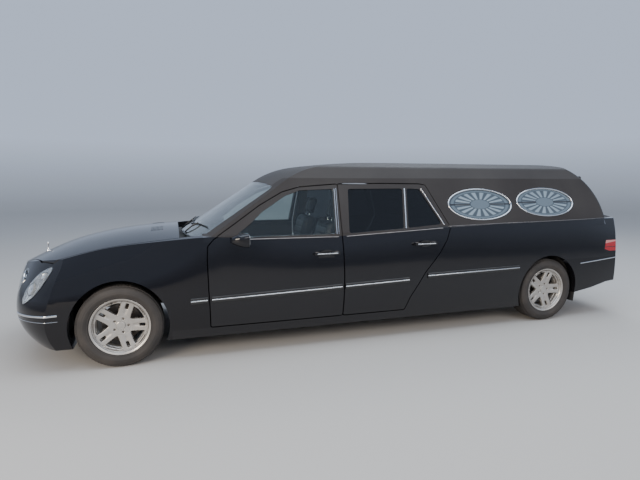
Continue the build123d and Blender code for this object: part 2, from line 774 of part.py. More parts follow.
NOSE_HALF = 338
fender_outline = (
    (-1000, BUMPER_TOP), (-250, BUMPER_TOP), (0, 400), (380, 150), (380, SILL_TOP), (760, SILL_TOP),
    (760, FENDER_TOP), (FENDER_END, FENDER_TOP), (FENDER_END, 1010), (500, 1010), (480, 1300), (-1000, 1300),
)
fender_plan = (
    (-1000, -NOSE_HALF), (-600, -NOSE_HALF), (-400, -600), (464, -730), (464, -800), (800, -800),
    (800, -1000), (-1000, -1000),
)
with BuildPart() as fender:
    add(shell.part)
    add(side_prism(fender_outline, far=NOSE_HALF), mode=Mode.INTERSECT)
    add(plan_prism(fender_plan, 150, 1350), mode=Mode.INTERSECT)
    add(hood_region(SHUT_GAP), mode=Mode.SUBTRACT)
    add(arch(0), mode=Mode.SUBTRACT)
    add(shut_prism(DOOR_FRONT, SHUT_GAP), mode=Mode.SUBTRACT)
    add(screen_opening, mode=Mode.SUBTRACT)
    add(lamp_zone.part, mode=Mode.SUBTRACT)
    add(rod(hood_axis, PIN_RADIUS + PIN_GAP, -HOOD_PIN_Y, -HOOD_PIN_END - 5), mode=Mode.SUBTRACT)
made["fender_left"] = fender.part

nose_panel = ((-NOSE_HALF, BUMPER_TOP), (-NOSE_HALF, 900), (NOSE_HALF, 900), (NOSE_HALF, BUMPER_TOP))
with BuildPart() as bumper_front:
    add(shell.part)
    add(both_sides(((-1000, 150), (-250, 150), (-250, BUMPER_TOP), (-1000, BUMPER_TOP))), mode=Mode.INTERSECT)
    with BuildPart(mode=Mode.PRIVATE) as fascia:
        add(shell.part)
        add(front_prism(nose_panel, -1000, -500), mode=Mode.INTERSECT)
    add(fascia.part)
    add(hood_region(SHUT_GAP), mode=Mode.SUBTRACT)
    add(arch(0), mode=Mode.SUBTRACT)
    add(front_prism(grille_outline, -1000, -600, spread=SHUT_GAP), mode=Mode.SUBTRACT)
    add(lamp_zone.part, mode=Mode.SUBTRACT)
made["bumper_front"] = bumper_front.part

# Socket for a screw-in towing eye, in a flat-bottomed recess
TOWING_FACE = 5150
TOWING_Y = 430
TOWING_Z = 470
TOWING_RECESS_RADIUS = 24
TOWING_HOLE_RADIUS = 8
TOWING_HOLE_DEPTH = 34
with BuildPart() as bumper_rear:
    add(shell.part)
    tail_side = TAIL_UNDERSIDE + ((5400, TAIL_BUMPER_TOP), (TAIL_START, TAIL_BUMPER_TOP))
    add(both_sides(tail_side), mode=Mode.INTERSECT)
    add(arch(WHEELBASE), mode=Mode.SUBTRACT)
    with BuildSketch(Plane.XY.offset(100)):
        with Locations((station(TAIL_START + 390), 0)):
            Rectangle(780, 1560)
    extrude(amount=250, mode=Mode.SUBTRACT)
    towing_plane = Plane(origin=(station(TOWING_FACE), TOWING_Y, TOWING_Z), x_dir=(0, 1, 0), z_dir=(1, 0, 0))
    add(rod(towing_plane, TOWING_RECESS_RADIUS, 0, 120), mode=Mode.SUBTRACT)
    add(rod(towing_plane, TOWING_HOLE_RADIUS, -TOWING_HOLE_DEPTH, 1), mode=Mode.SUBTRACT)
made["bumper_rear"] = bumper_rear.part

def block(start, end, left, right, low, high):
    """A plain box between two stations, two sides and two heights."""
    with BuildPart() as solid:
        with BuildSketch(Plane.XY.offset(low)):
            with Locations((station((start + end) / 2), (left + right) / 2)):
                Rectangle(end - start, right - left)
        extrude(amount=high - low)
    return solid.part


def side_slab(outline, left, right, corner=0):
    """A side-view outline extruded between two sides."""
    with BuildPart() as solid:
        with BuildSketch(Plane.XZ.offset(-right)) as shape:
            Polygon(*[(station(place), height) for place, height in outline], align=None)
            if corner:
                round_corners(shape, corner)
        extrude(amount=right - left)
    return solid.part


# Floor, with a tunnel and a rise over the rear axle
FLOOR_HALF = 620
FLOOR_Z = 216
FLOOR_WALL = 20
TUNNEL_HALF = 150
TUNNEL_TOP = 370
TUNNEL_INNER = TUNNEL_HALF - FLOOR_WALL
FIREWALL = 470
FIREWALL_WALL = 20
REAR_RISE = 420
RISE_START = 3500
WHEELHOUSE_RADIUS = 380
WHEELHOUSE_OUTER = 802
floor_line = ((FIREWALL + FIREWALL_WALL, FLOOR_Z), (RISE_START, FLOOR_Z), (RISE_START + 140, REAR_RISE),
              (4990, REAR_RISE))
floor_under = tuple((place, height - FLOOR_WALL) for place, height in reversed(floor_line))
with BuildPart() as floor_pan:
    add(side_slab(floor_line + floor_under, -FLOOR_HALF, FLOOR_HALF))
    add(block(FIREWALL + FIREWALL_WALL, RISE_START + 100, -TUNNEL_HALF, TUNNEL_HALF, FLOOR_Z - FLOOR_WALL,
              TUNNEL_TOP))
    add(block(FIREWALL, RISE_START + 120, -TUNNEL_INNER, TUNNEL_INNER, 100, TUNNEL_TOP - FLOOR_WALL),
        mode=Mode.SUBTRACT)
    add(block(4480, 5000, -778, 778, REAR_RISE - FLOOR_WALL, REAR_RISE))
    for side in (-1, 1):
        with BuildSketch(Plane.XZ.offset(side * FLOOR_HALF)):
            with Locations((station(WHEELBASE), ARCH_Z)):
                Circle(WHEELHOUSE_RADIUS + 5)
                Circle(WHEELHOUSE_RADIUS, mode=Mode.SUBTRACT)
            with Locations((station(WHEELBASE), ARCH_Z - 400)):
                Rectangle(1000, 2 * (400 - 40), mode=Mode.SUBTRACT)
        extrude(amount=side * (WHEELHOUSE_OUTER - FLOOR_HALF))
        with BuildSketch(Plane.XZ.offset(side * (FLOOR_HALF - 5))):
            with Locations((station(WHEELBASE), ARCH_Z)):
                Circle(WHEELHOUSE_RADIUS + 5)
            with Locations((station(WHEELBASE), ARCH_Z - 400 + 100)):
                Rectangle(1000, 800 - 40, mode=Mode.SUBTRACT)
        extrude(amount=side * 5)
made["floor_pan"] = floor_pan.part

COWL_Z = 940
CABIN_INNER_HALF = POST_FACE - POST_DEPTH - 2
with BuildPart() as firewall:
    add(block(FIREWALL, FIREWALL + FIREWALL_WALL, -CABIN_INNER_HALF, CABIN_INNER_HALF, SILL_Z + WALL, COWL_Z))
    add(block(FIREWALL, FIREWALL + FIREWALL_WALL, -FLOOR_HALF, FLOOR_HALF, FLOOR_Z - FLOOR_WALL,
              SILL_Z + WALL))
    add(block(FIREWALL - 5, FIREWALL + 40, -TUNNEL_INNER, TUNNEL_INNER, 100, TUNNEL_TOP - FLOOR_WALL),
        mode=Mode.SUBTRACT)
    add(block(FIREWALL, 625, -CABIN_INNER_HALF, CABIN_INNER_HALF, COWL_Z - 12, COWL_Z))
made["firewall"] = firewall.part

# Wheelhouse liners of the steered wheels, clear of the tyre at full lock
LINER_RADIUS = 398
LINER_INNER = 462
LINER_OUTER = 836
with BuildPart() as liners:
    with BuildSketch(Plane.XZ.offset(LINER_INNER)):
        with Locations((station(0), ARCH_Z)):
            Circle(LINER_RADIUS + 5)
            Circle(LINER_RADIUS, mode=Mode.SUBTRACT)
        with Locations((station(0), ARCH_Z - 400)):
            Rectangle(1000, 2 * (400 - 60), mode=Mode.SUBTRACT)
    extrude(amount=LINER_OUTER - LINER_INNER)
    with BuildSketch(Plane.XZ.offset(LINER_INNER)):
        with Locations((station(0), ARCH_Z)):
            Circle(LINER_RADIUS + 5)
        with Locations((station(0), ARCH_Z - 400)):
            Rectangle(1000, 2 * (400 + 150), mode=Mode.SUBTRACT)
    extrude(amount=5)
    mirror(about=Plane.XZ)
    add(inner, mode=Mode.INTERSECT)
made["front_liners"] = liners.part

RAIL_LOW = 480
RAIL_HIGH = 580
RAIL_INNER = 410
BEAM_LOW = 235
BEAM_HIGH = 330
KNUCKLE_LOW = 217
KNUCKLE_HIGH = 431
UPRIGHT_HALF = 16
ARM_HEIGHT = 20
BALL_RADIUS = 10
SPINDLE_RADIUS = HUB_BORE_RADIUS - PIN_GAP
kingpin = KINGPIN_Y - 10


with BuildPart() as subframe:
    for side in (-1, 1):
        inner_y, outer_y = sorted((side * RAIL_INNER, side * LINER_INNER))
        add(block(-715, FIREWALL, inner_y, outer_y, RAIL_LOW, RAIL_HIGH))
        tower_in, tower_out = sorted((side * RAIL_INNER, side * (LINER_INNER - 10)))
        add(block(-45, 45, tower_in, tower_out, BEAM_LOW, RAIL_LOW))
        for low, pin_low, pin_high in (
            (KNUCKLE_LOW - 1 - ARM_HEIGHT, KNUCKLE_LOW - 1, KNUCKLE_LOW + 25),
            (KNUCKLE_HIGH + 1, KNUCKLE_HIGH - 25, KNUCKLE_HIGH + 1),
        ):
            arm_in, arm_out = sorted((side * RAIL_INNER, side * kingpin))
            add(block(-20, 20, arm_in, arm_out, low, low + ARM_HEIGHT))
            add(upright_rod(station(0), side * kingpin, 20, low, low + ARM_HEIGHT))
            add(upright_rod(station(0), side * kingpin, BALL_RADIUS, pin_low, pin_high))
        add(block(-24, 24, tower_in, tower_out, KNUCKLE_LOW - 1 - ARM_HEIGHT, BEAM_LOW))
    add(block(-110, 110, -LINER_INNER + 10, LINER_INNER - 10, BEAM_LOW, BEAM_HIGH))
    add(inner, mode=Mode.INTERSECT)
made["front_subframe"] = subframe.part

with BuildPart() as engine:
    add(block(-360, 420, -240, 240, BEAM_HIGH, 760))
    chamfer(engine.edges().filter_by(Axis.X).group_by(Axis.Z)[-1], 60)
made["engine_block"] = engine.part

SHAFT_Z = 255
DIFF_FRONT = 4000
with BuildPart() as driveline:
    with BuildSketch(cross_plane(360)):
        with Locations((0, SHAFT_Z)):
            Circle(70)
    extrude(amount=640)
    with BuildSketch(cross_plane(420)):
        with Locations((0, 300)):
            Rectangle(160, 200)
    extrude(amount=40)
    with BuildSketch(cross_plane(1000)):
        with Locations((0, SHAFT_Z)):
            Circle(34)
    extrude(amount=DIFF_FRONT - 1000)
made["driveline"] = driveline.part

with BuildPart() as rear_axle:
    with BuildSketch(cross_plane(DIFF_FRONT)):
        with Locations((0, SHAFT_Z + 40)):
            Circle(95)
    extrude(amount=180)
    add(block(WHEELBASE - 50, WHEELBASE + 50, -600, 600, BEAM_LOW + 20, BEAM_HIGH + 10))
    for side in (-1, 1):
        add(upright_rod(station(WHEELBASE), side * 430, 36, BEAM_HIGH, REAR_RISE - FLOOR_WALL))
        axle = trunnion_plane(station(WHEELBASE), 0, ARCH_Z)
        add(rod(axle, 22, side * 590, side * 680))
        add(rod(axle, 70, side * (kingpin - UPRIGHT_HALF - 4), side * (kingpin + UPRIGHT_HALF - 4)))
        add(rod(axle, SPINDLE_RADIUS, side * (kingpin + 5), side * 810))
made["rear_axle"] = rear_axle.part

with BuildPart() as knuckle:
    add(block(-34, 34, -kingpin - UPRIGHT_HALF, -kingpin + UPRIGHT_HALF, KNUCKLE_LOW, KNUCKLE_HIGH))
    for low in (KNUCKLE_LOW, KNUCKLE_HIGH - 40):
        add(upright_rod(station(0), -kingpin, 22, low, low + 40))
    axle = trunnion_plane(station(0), 0, ARCH_Z)
    add(rod(axle, 62, -kingpin + UPRIGHT_HALF, -kingpin - UPRIGHT_HALF))
    add(rod(axle, SPINDLE_RADIUS, -kingpin - 5, -814))
    for low in (KNUCKLE_LOW - 5, KNUCKLE_HIGH - 26):
        add(upright_rod(station(0), -kingpin, BALL_RADIUS + PIN_GAP, low, low + 31), mode=Mode.SUBTRACT)
made["knuckle_left"] = knuckle.part

# Wheels: twin-spoke alloy rim with hub and brake disc, and tyre
HALF_RIM = RIM_WIDTH / 2
RIM_WALL = 7
FLANGE_WIDTH = 8
FLANGE = HALF_RIM - FLANGE_WIDTH
DROP_CENTRE = -20
FACE_INNER = 42
FACE_OUTER = 68
DISHED = 14
DISC_RADIUS = 150
HUB_RADIUS = 74
TYRE_HALF = TYRE_WIDTH / 2
BULGE_RADIUS = 262
TYRE_SHOULDER = 304
SPOKES = 5
SPOKE_ANGLE = 71
BOLT_CIRCLE = 56
BOLT_HOLE_RADIUS = 11
with BuildSketch() as window:
    Polygon((98, -18), (176, -52), (184, 0), (176, 52), (98, 18), align=None)
    round_corners(window, 10)
with BuildSketch() as slot:
    Polygon((110, -7), (178, -15), (178, 15), (110, 7), align=None)
    round_corners(slot, 4)


def wheel_pair(x, y):
    """Rim and tyre about an axle end, with the outer side away from the car's middle."""
    out = 1 if y > 0 else -1

    def across(width, radius):
        return (out * width, radius)

    plane = Plane(origin=(x, y, ARCH_Z), x_dir=(0, 1, 0), z_dir=(1, 0, 0))
    axis = Axis((x, y, ARCH_Z), (0, 1, 0))
    barrel = RIM_SEAT_RADIUS - RIM_WALL
    with BuildPart() as rim:
        with BuildSketch(plane):
            Polygon(
                across(-HALF_RIM, RIM_FLANGE_RADIUS), across(-HALF_RIM, barrel),
                across(DROP_CENTRE, barrel - 22), across(FACE_INNER, barrel - 4),
                across(HALF_RIM, barrel + 4), across(HALF_RIM, RIM_FLANGE_RADIUS),
                across(FLANGE, RIM_FLANGE_RADIUS), across(FLANGE, RIM_SEAT_RADIUS),
                across(FACE_INNER, RIM_SEAT_RADIUS), across(DROP_CENTRE, barrel - 14),
                across(-FLANGE, RIM_SEAT_RADIUS), across(-FLANGE, RIM_FLANGE_RADIUS), align=None,
            )
            Polygon(
                across(FACE_INNER, HUB_BORE_RADIUS), across(FACE_INNER, HUB_RADIUS),
                across(FACE_INNER + DISHED, barrel - 1), across(FACE_OUTER + DISHED, barrel + 2),
                across(FACE_OUTER, HUB_RADIUS), across(FACE_OUTER - 8, HUB_BORE_RADIUS), align=None,
            )
        revolve(axis=axis)
        outside = Plane(origin=(x, y + out * (FACE_INNER - 30), ARCH_Z), x_dir=(1, 0, 0), z_dir=(0, out, 0))
        with BuildSketch(outside):
            with PolarLocations(0, SPOKES, start_angle=SPOKE_ANGLE + 180 / SPOKES):
                add(window.sketch)
            with PolarLocations(0, SPOKES, start_angle=SPOKE_ANGLE):
                add(slot.sketch)
        extrude(amount=120, mode=Mode.SUBTRACT)
        bolts = Plane(origin=(x, y + out * (FACE_OUTER - 30), ARCH_Z), x_dir=(1, 0, 0), z_dir=(0, out, 0))
        with BuildSketch(bolts):
            with PolarLocations(BOLT_CIRCLE, SPOKES, start_angle=SPOKE_ANGLE):
                Circle(BOLT_HOLE_RADIUS)
        extrude(amount=120, mode=Mode.SUBTRACT)
        with BuildSketch(plane):
            Polygon(
                across(FACE_INNER, HUB_BORE_RADIUS), across(FACE_INNER, HUB_RADIUS), across(-46, HUB_RADIUS),
                across(-46, DISC_RADIUS), across(-66, DISC_RADIUS), across(-66, HUB_BORE_RADIUS), align=None,
            )
            Polygon(across(FACE_OUTER - 12, 0), across(FACE_OUTER - 12, HUB_BORE_RADIUS + 1),
                    across(FACE_OUTER, HUB_BORE_RADIUS), across(FACE_OUTER, 0), align=None)
        revolve(axis=axis)
    with BuildPart() as tyre:
        bead = FLANGE - SEAT_GAP
        shoulder = TYRE_HALF - 14
        tread = TYRE_HALF - 30
        with BuildSketch(plane):
            with BuildLine():
                for sign in (-1, 1):
                    Line((sign * bead, RIM_SEAT_RADIUS + SEAT_GAP), (sign * bead, RIM_FLANGE_RADIUS + 2))
                    ThreePointArc((sign * bead, RIM_FLANGE_RADIUS + 2), (sign * TYRE_HALF, BULGE_RADIUS),
                                  (sign * shoulder, TYRE_SHOULDER))
                    Line((sign * shoulder, TYRE_SHOULDER), (sign * tread, TYRE_RADIUS - 2))
                ThreePointArc((-tread, TYRE_RADIUS - 2), (0, TYRE_RADIUS), (tread, TYRE_RADIUS - 2))
                Line((-bead, RIM_SEAT_RADIUS + SEAT_GAP), (bead, RIM_SEAT_RADIUS + SEAT_GAP))
            make_face()
        revolve(axis=axis)
    return rim.part, tyre.part


WHEELS = (
    # name, x, y
    ("front_left", FRONT_AXLE_X, -TRACK_FRONT / 2),
    ("front_right", FRONT_AXLE_X, TRACK_FRONT / 2),
    ("rear_left", REAR_AXLE_X, -TRACK_REAR / 2),
    ("rear_right", REAR_AXLE_X, TRACK_REAR / 2),
)
for name, x, y in WHEELS:
    made[f"rim_{name}"], made[f"tyre_{name}"] = wheel_pair(x, y)

PIPE_Y = 220
PIPE_Z = 160
HANGERS = (
    # station, top
    (1200, FLOOR_Z - FLOOR_WALL),
    (2600, FLOOR_Z - FLOOR_WALL),
    (4520, REAR_RISE - FLOOR_WALL),
)
with BuildPart() as exhaust:
    with BuildSketch(cross_plane(500)):
        with Locations((PIPE_Y, PIPE_Z)):
            Circle(28)
    extrude(amount=4000)
    add(block(4500, 4900, 60, 420, 150, 280))
    for place, top in HANGERS:
        add(upright_rod(station(place), PIPE_Y, 6, PIPE_Z + 5, top))
made["exhaust"] = exhaust.part

# Inside the cabin
DRIVER_Y = 385
WHEEL_CENTRE = (1090, 860)
COLUMN_LEAN = 24
DASH_PROFILE = (
    (490, 640), (490, 900), (640, 925), (700, 948), (860, 962), (955, 905), (975, 800), (930, 700), (760, 640),
)
with BuildPart() as dashboard:
    add(side_slab(DASH_PROFILE, -CABIN_INNER_HALF, CABIN_INNER_HALF, corner=18))
    column = Plane(origin=(station(WHEEL_CENTRE[0]), DRIVER_Y, WHEEL_CENTRE[1]), x_dir=(0, 1, 0),
                   z_dir=(math.cos(math.radians(COLUMN_LEAN)), 0, math.sin(math.radians(COLUMN_LEAN))))
    add(rod(column, 32, -220, -40))
made["dashboard"] = dashboard.part
with BuildPart() as steering_wheel:
    with BuildSketch(Plane(origin=column.origin, x_dir=column.z_dir, z_dir=column.x_dir)):
        with Locations((0, 178)):
            Circle(14)
    revolve(axis=Axis(column.origin, column.z_dir))
    add(rod(column, 62, -24, 8))
    add(rod(column, 12, -40 + SEAT_GAP, -20))
    with BuildSketch(column.offset(-12)):
        Rectangle(356, 30)
        with Locations((0, -90)):
            Rectangle(30, 178)
    extrude(amount=12)
made["steering_wheel"] = steering_wheel.part

SEAT_PROFILE = (
    # station from the seat's front, height
    (80, FLOOR_Z), (500, FLOOR_Z), (600, 400), (830, 1060), (800, 1112), (735, 1100), (575, 560), (500, 500),
    (60, 515), (0, 470), (20, 380),
)
HEADREST_PROFILE = ((760, 1060), (800, 1060), (870, 1130), (880, 1270), (800, 1280), (780, 1140))
FRONT_SEAT = 1090
FRONT_SEAT_HALF = 235
HEADREST_HALF = 120
with BuildPart() as front_seats:
    for side in (-1, 1):
        near, far = sorted((side * (DRIVER_Y - FRONT_SEAT_HALF), side * (DRIVER_Y + FRONT_SEAT_HALF)))
        add(side_slab([(FRONT_SEAT + place, height) for place, height in SEAT_PROFILE], near, far, corner=22))
        near, far = sorted((side * (DRIVER_Y - HEADREST_HALF), side * (DRIVER_Y + HEADREST_HALF)))
        headrest = [(FRONT_SEAT + place, height) for place, height in HEADREST_PROFILE]
        add(side_slab(headrest, near, far, corner=14))
made["front_seats"] = front_seats.part
REAR_SEAT = 2080
with BuildPart() as rear_seat:
    seat_side = [(REAR_SEAT + place, height) for place, height in SEAT_PROFILE]
    add(side_slab(seat_side, -FLOOR_HALF, FLOOR_HALF, corner=22))
    tunnel_space = block(REAR_SEAT - 20, REAR_SEAT + 900, -TUNNEL_HALF - 5, TUNNEL_HALF + 5, 100, TUNNEL_TOP)
    add(tunnel_space, mode=Mode.SUBTRACT)
made["rear_seat"] = rear_seat.part
DECK_Z = 625
DECK_PLATE = 22
BIER_MIDDLE = 3900
BIER_LENGTH = 1500
BIER_WIDTH = 460
BIER_HOLE_RADIUS = 9
with BuildPart() as deck:
    line = ((2960, FLOOR_Z), (RISE_START, FLOOR_Z), (RISE_START + 140, REAR_RISE), (4900, REAR_RISE),
            (4900, DECK_Z), (2960, DECK_Z))
    for side in (-1, 1):
        near, far = sorted((side * 560, side * 580))
        add(side_slab(line, near, far))
    add(block(2940, 4900, -600, 600, DECK_Z, DECK_Z + DECK_PLATE))
    with BuildSketch(Plane.XY.offset(DECK_Z)):
        with Locations((station(BIER_MIDDLE), 0)):
            with GridLocations(BIER_LENGTH, BIER_WIDTH, 2, 2):
                Circle(BIER_HOLE_RADIUS)
    extrude(amount=DECK_PLATE, mode=Mode.SUBTRACT)
made["casket_deck"] = deck.part

TAIL_LAMP = ((4830, 722), (4850, 815), (5300, 815), (5300, 690), (4900, 700))
LAMP_INNER = LID_HALF + SHUT_GAP + 2
with BuildPart() as tail_zone:
    with BuildSketch(Plane.XZ.offset(560)):
        Polygon(*[(station(place), height) for place, height in TAIL_LAMP], align=None)
    extrude(amount=500)
with BuildPart() as tail_lamps:
    add(shell.part)
    add(tail_zone.part, mode=Mode.INTERSECT)
    with BuildSketch(cross_plane(4700)):
        Polygon((-1000, 600), (-LAMP_INNER, 600), (-LAMP_INNER, 900), (-1000, 900), align=None)
    extrude(amount=600, mode=Mode.INTERSECT)
    mirror(about=Plane.XZ)
made["tail_lamps"] = tail_lamps.part
with BuildPart() as body_side_cut:
    add(made["body_side_left"])
    add(tail_zone.part, mode=Mode.SUBTRACT)
made["body_side_left"] = body_side_cut.part

for name in [key for key in made if key.endswith("_left") and not key.startswith(("rim", "tyre"))]:
    with BuildPart() as other:
        mirror(made[name], about=Plane.XZ)
    made[name.replace("_left", "_right")] = other.part

for name, shape in made.items():
    print(name, round(shape.volume / 1e6, 2), len(shape.solids()), shape.is_valid)

os.makedirs("parts", exist_ok=True)
for name, shape in made.items():
    shape.label = name
    export_step(shape, f"parts/{name}.step")
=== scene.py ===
import bpy
import bmesh
import json
import math
from mathutils import Matrix, Vector
from mathutils.bvhtree import BVHTree


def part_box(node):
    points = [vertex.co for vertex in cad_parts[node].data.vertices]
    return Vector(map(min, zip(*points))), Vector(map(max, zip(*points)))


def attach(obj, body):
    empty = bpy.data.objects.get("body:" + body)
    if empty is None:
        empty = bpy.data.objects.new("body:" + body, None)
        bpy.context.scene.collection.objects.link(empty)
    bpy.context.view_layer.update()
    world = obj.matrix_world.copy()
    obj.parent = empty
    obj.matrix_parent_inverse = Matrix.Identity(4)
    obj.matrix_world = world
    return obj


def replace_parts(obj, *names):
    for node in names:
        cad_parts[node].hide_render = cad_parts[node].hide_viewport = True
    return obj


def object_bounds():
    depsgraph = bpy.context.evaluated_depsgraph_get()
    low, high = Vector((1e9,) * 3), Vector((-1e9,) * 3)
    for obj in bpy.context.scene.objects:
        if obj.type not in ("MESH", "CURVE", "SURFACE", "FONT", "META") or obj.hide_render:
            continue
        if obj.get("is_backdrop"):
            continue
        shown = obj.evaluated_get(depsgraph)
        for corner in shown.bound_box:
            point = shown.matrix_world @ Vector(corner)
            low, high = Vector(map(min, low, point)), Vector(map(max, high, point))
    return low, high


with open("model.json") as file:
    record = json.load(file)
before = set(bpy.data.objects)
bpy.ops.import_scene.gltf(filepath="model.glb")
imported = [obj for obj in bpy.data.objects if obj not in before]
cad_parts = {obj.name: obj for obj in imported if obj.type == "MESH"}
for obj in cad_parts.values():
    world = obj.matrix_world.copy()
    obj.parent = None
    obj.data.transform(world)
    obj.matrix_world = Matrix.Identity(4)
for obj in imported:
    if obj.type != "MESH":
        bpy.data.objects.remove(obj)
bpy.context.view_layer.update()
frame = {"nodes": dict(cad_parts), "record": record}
nodes = frame["nodes"]

# Camera and studio. The camera stands where the photo's stood, to the left of the coach and a little
# lower than its roof. A pale floor and broad soft lamps, cool from above and warm from low in front.
CAMERA_PLACE = (-1.749, -4.621, 1.427)
CAMERA_TILT = math.radians(82.92)
CAMERA_TURN = math.radians(-17.76)
CAMERA_LENS = 25.87
SENSOR_WIDTH = 36
FLOOR_TONE = (0.46, 0.435, 0.405, 1)
WALL_TONE = (0.60, 0.74, 1.0, 1)
WALL_GLOW = 0.5
GLOW_HEIGHT = 4.0
SKY_TONE = (0.62, 0.76, 1.0, 1)
SKY_STRENGTH = 0.8
STUDIO = (
    # height, radius: the floor sweeps up into a round wall
    (0.0, 0.0), (0.0, 22.0), (0.35, 24.5), (1.6, 26.5), (4.0, 27.6), (9.0, 28.0), (20.0, 28.0),
)
LAMPS = (
    # name, place, aimed_at, width, height, power, colour
    ("overhead", (0.5, -1.5, 7.0), (0.2, 0, 0.8), 10.0, 5.0, 480, (0.80, 0.90, 1.0)),
    ("low_front", (-7.5, -6.0, 3.2), (-1.0, 0, 0.5), 4.0, 3.0, 620, (1.0, 0.88, 0.72)),
    ("side", (2.5, -9.0, 4.6), (0.6, 0, 0.7), 8.0, 2.0, 300, (1.0, 0.95, 0.90)),
    ("behind", (4.5, 5.0, 8.0), (0.6, 0, 0.8), 6.0, 3.0, 330, (0.86, 0.92, 1.0)),
)


class Socket:
    """One output of a shader node, so that maths on it is written as plain expressions."""

    def __init__(self, tree, output):
        self.tree = tree
        self.output = output

    def node(self, kind, inputs=(), output=0, **settings):
        """A new node of a type, with its settings made first and its sockets then given values or links."""
        made = self.tree.nodes.new(kind)
        for key, value in settings.items():
            setattr(made, key, value)
        pairs = inputs.items() if isinstance(inputs, dict) else enumerate(inputs)
        for key, value in pairs:
            if isinstance(value, Socket):
                self.tree.links.new(value.output, made.inputs[key])
            elif value is not None:
                made.inputs[key].default_value = value
        return Socket(self.tree, made.outputs[output])

    def axes(self):
        """These coordinates as x, y and z."""
        split = self.node("ShaderNodeSeparateXYZ", (self,)).output.node
        return [Socket(self.tree, output) for output in split.outputs]

    def maths(self, operation, *others):
        return self.node("ShaderNodeMath", (self, *others), operation=operation)

    def __add__(self, other):
        return self.maths("ADD", other)

    __radd__ = __add__

    def __sub__(self, other):
        return self.maths("SUBTRACT", other)

    def __rsub__(self, other):
        return self.node("ShaderNodeMath", (other, self), operation="SUBTRACT")

    def __mul__(self, other):
        return self.maths("MULTIPLY", other)

    __rmul__ = __mul__

    def __truediv__(self, other):
        return self.maths("DIVIDE", other)

    def above(self, edge, softness):
        """From 0 to 1 as the value passes an edge."""
        return self.node("ShaderNodeMapRange", (self, edge - softness, edge + softness, 0.0, 1.0))

    def noise(self, scale, detail=4.0, roughness=0.55, stretch=None):
        """Cloudy variation over Object coordinates, from about 0.3 to 0.7."""
        place = self
        if stretch:
            place = self.node("ShaderNodeMapping", {0: self, 3: stretch})
        return self.node("ShaderNodeTexNoise", {0: place, 2: scale, 3: detail, 4: roughness})

    def mix(self, other, factor):
        """This colour where the factor is 0 and the other where it is 1."""
        return self.node("ShaderNodeMix", {0: factor, 6: self, 7: other}, output=2, data_type="RGBA")


def finish_of(name):
    """A new material, its shader, and the Object coordinates."""
    material = bpy.data.materials.new(name)
    material.use_nodes = True
    tree = material.node_tree
    where = Socket(tree, tree.nodes.new("ShaderNodeTexCoord").outputs["Object"])
    return material, tree.nodes["Principled BSDF"], where


def feed(shader, **sockets):
    """Links or sets a shader's sockets, named with underscores in place of spaces."""
    for key, value in sockets.items():
        socket = shader.inputs[key.replace("_", " ")]
        if isinstance(value, Socket):
            value.tree.links.new(value.output, socket)
        else:
            socket.default_value = value


def colour(where, rgb):
    """A constant colour as a socket."""
    made = where.node("ShaderNodeRGB")
    made.output.default_value = (*rgb, 1)
    return made


def revolve(shape, profile, steps, closed=True):
    """Spins a profile of (height on Z, radius) about Z."""
    corners = [shape.verts.new((out, 0, level)) for level, out in profile]
    ends = corners[1:] + corners[:1] if closed else corners[1:]
    chain = [shape.edges.new(pair) for pair in zip(corners, ends)]
    pivot = {"cent": (0, 0, 0), "axis": (0, 0, 1), "angle": math.tau}
    bmesh.ops.spin(shape, geom=corners + chain, steps=steps, use_merge=True, **pivot)
    bmesh.ops.remove_doubles(shape, verts=shape.verts, dist=1e-5)
    bmesh.ops.recalc_face_normals(shape, faces=shape.faces)


def standing(name, data):
    """A new object in the scene, at the origin."""
    made = bpy.data.objects.new(name, data)
    bpy.context.scene.collection.objects.link(made)
    return made


def mesh_of(name, shape, material):
    """A smooth mesh from a bmesh, with its finish."""
    mesh = bpy.data.meshes.new(name)
    shape.to_mesh(mesh)
    shape.free()
    for polygon in mesh.polygons:
        polygon.use_smooth = True
    mesh.materials.append(material)
    return mesh


camera = standing("camera", bpy.data.cameras.new("camera"))
camera.data.lens = CAMERA_LENS
camera.data.sensor_width = SENSOR_WIDTH
camera.data.clip_end = 200
camera.location = CAMERA_PLACE
camera.rotation_euler = (CAMERA_TILT, 0, CAMERA_TURN)
bpy.context.scene.camera = camera

pale, shader, where = finish_of("pale_floor")
along, across, height = where.axes()
lit = height.above(GLOW_HEIGHT / 2, GLOW_HEIGHT / 2)
feed(shader, Base_Color=FLOOR_TONE, Roughness=0.9)
feed(shader, Emission_Color=colour(where, (0, 0, 0)).mix(WALL_TONE, lit), Emission_Strength=WALL_GLOW)
sweep = bmesh.new()
revolve(sweep, STUDIO, 96, closed=False)
floor = standing("floor", mesh_of("floor", sweep, pale))
floor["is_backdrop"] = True

world = bpy.data.worlds.new("studio")
bpy.context.scene.world = world
world.use_nodes = True
world.node_tree.nodes["Background"].inputs["Color"].default_value = SKY_TONE
world.node_tree.nodes["Background"].inputs["Strength"].default_value = SKY_STRENGTH

for name, place, target, width, height, power, tint in LAMPS:
    lamp = bpy.data.lights.new(name, "AREA")
    lamp.shape = "RECTANGLE"
    lamp.size = width
    lamp.size_y = height
    lamp.energy = power
    lamp.color = tint
    holder = standing(name, lamp)
    holder.location = place
    holder.rotation_euler = (Vector(target) - Vector(place)).to_track_quat("-Z", "Y").to_euler()

# Painted panels: hood, fenders, bumpers and tail door are pressed steel in black lacquer under a clear
# coat, with a fine film of road dust that thickens towards the sills.
PAINT = (0.0045, 0.0045, 0.0065)
DUST = (0.16, 0.14, 0.12)
PAINT_ROUGHNESS = 0.12
LACQUER = {"Coat_Roughness": 0.03, "Coat_IOR": 1.42}


def bump(where, height, strength, distance):
    return where.node("ShaderNodeBump", {"Strength": strength, "Distance": distance, "Height": height})


